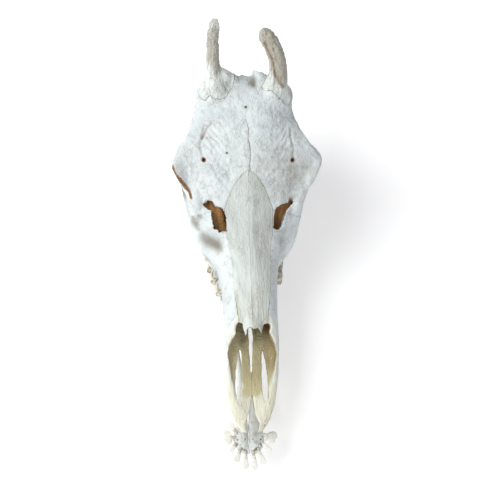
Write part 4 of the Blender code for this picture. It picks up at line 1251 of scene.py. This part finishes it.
def add_floor(settings):
    """Matt white floor paint, which scatters light and shows no reflection."""
    deselect_all()
    bpy.ops.mesh.primitive_plane_add(size=14, location=(0, 0, -0.0004))
    floor = bpy.context.active_object
    floor.name = "floor"
    bpy.ops.object.transform_apply(location=True, rotation=True, scale=True)
    paint, _, shader = new_paint("matt_floor_paint")
    shader.inputs["Base Color"].default_value = (*settings.floor, 1)
    shader.inputs["Roughness"].default_value = 0.9
    shader.inputs["Emission Color"].default_value = (*settings.floor, 1)
    shader.inputs["Emission Strength"].default_value = settings.glow
    floor.data.materials.append(paint)


def add_light(scene, settings, target):
    """Large soft lamps that face the skull, and an even sky."""
    for name, setting, share, size, place, tint in LAMPS:
        data = bpy.data.lights.new(name, "AREA")
        data.energy = share * getattr(settings, setting)
        data.size = size
        data.color = tint
        lamp = bpy.data.objects.new(name, data)
        lamp.location = place
        lamp.rotation_euler = (target - Vector(place)).to_track_quat("-Z", "Y").to_euler()
        scene.collection.objects.link(lamp)
    scene.world = bpy.data.worlds.new("sky")
    scene.world.use_nodes = True
    background = scene.world.node_tree.nodes["Background"]
    background.inputs["Color"].default_value = (0.97, 0.96, 1.0, 1)
    background.inputs["Strength"].default_value = settings.sky
    scene.view_settings.view_transform = "Standard"


def add_camera(scene, target):
    """The photograph's camera, high in front of the skull and a little to its right."""
    height, aside = math.radians(CAMERA_HEIGHT), math.radians(CAMERA_ASIDE)
    ahead = Vector((0, -math.cos(height), math.sin(height)))
    right = Vector((1, 0, 0))
    back = ahead * math.cos(aside) + right * math.sin(aside)
    across = right * math.cos(aside) - ahead * math.sin(aside)
    data = bpy.data.cameras.new("camera")
    data.sensor_width = SENSOR
    data.lens = SENSOR * CAMERA_DISTANCE / MM_PER_PIXEL / PHOTO_SIZE
    data.shift_x = -(AIM_PIXEL[0] - PHOTO_SIZE / 2) / PHOTO_SIZE
    data.shift_y = (AIM_PIXEL[1] - PHOTO_SIZE / 2) / PHOTO_SIZE
    data.clip_start = 0.05
    data.clip_end = 50
    camera = bpy.data.objects.new("camera", data)
    turn = Matrix((across, back.cross(across), back)).transposed().to_4x4()
    turn.translation = target + back * CAMERA_DISTANCE * MM
    camera.matrix_world = turn
    scene.collection.objects.link(camera)
    scene.camera = camera


class SKULL_OT_studio(bpy.types.Operator):
    """Add the floor, the soft lights and the camera"""
    bl_idname = "skull.studio"
    bl_label = "Studio"

    def execute(self, context):
        scene = context.scene
        target = Vector(to_frame([AIM])[0]) - Vector((drift(AIM[1]) * MM, 0, 0))
        add_floor(scene.skull_studio)
        add_light(scene, scene.skull_studio, target)
        add_camera(scene, target)
        return {"FINISHED"}


class SKULL_PT_panel(bpy.types.Panel):
    """Sizes, colours and the steps that build the skull"""
    bl_label = "Giraffe skull"
    bl_idname = "SKULL_PT_panel"
    bl_space_type = "VIEW_3D"
    bl_region_type = "UI"
    bl_category = "Skull"

    def draw(self, context):
        for settings in (context.scene.skull_finish, context.scene.skull_studio):
            for name in settings.__annotations__:
                self.layout.prop(settings, name)
        for step in STEPS:
            self.layout.operator(step.bl_idname)


STEPS = (SKULL_OT_studio, SKULL_OT_cranium, SKULL_OT_face, SKULL_OT_scrolls, SKULL_OT_horns, SKULL_OT_jaw,
         SKULL_OT_cheek_teeth, SKULL_OT_front_teeth)
CLASSES = (SkullFinish, StudioSettings) + STEPS + (SKULL_PT_panel,)


def register():
    for item in CLASSES:
        bpy.utils.register_class(item)
    bpy.types.Scene.skull_finish = PointerProperty(type=SkullFinish)
    bpy.types.Scene.skull_studio = PointerProperty(type=StudioSettings)


def unregister():
    del bpy.types.Scene.skull_studio
    del bpy.types.Scene.skull_finish
    for item in reversed(CLASSES):
        bpy.utils.unregister_class(item)


def main():
    register()
    bpy.ops.skull.studio()
    bpy.ops.skull.cranium()
    bpy.ops.skull.face()
    bpy.ops.skull.scrolls()
    bpy.ops.skull.horns()
    bpy.ops.skull.jaw()
    bpy.ops.skull.cheek_teeth()
    bpy.ops.skull.front_teeth()
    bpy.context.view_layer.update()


if __name__ == "__main__":
    main()
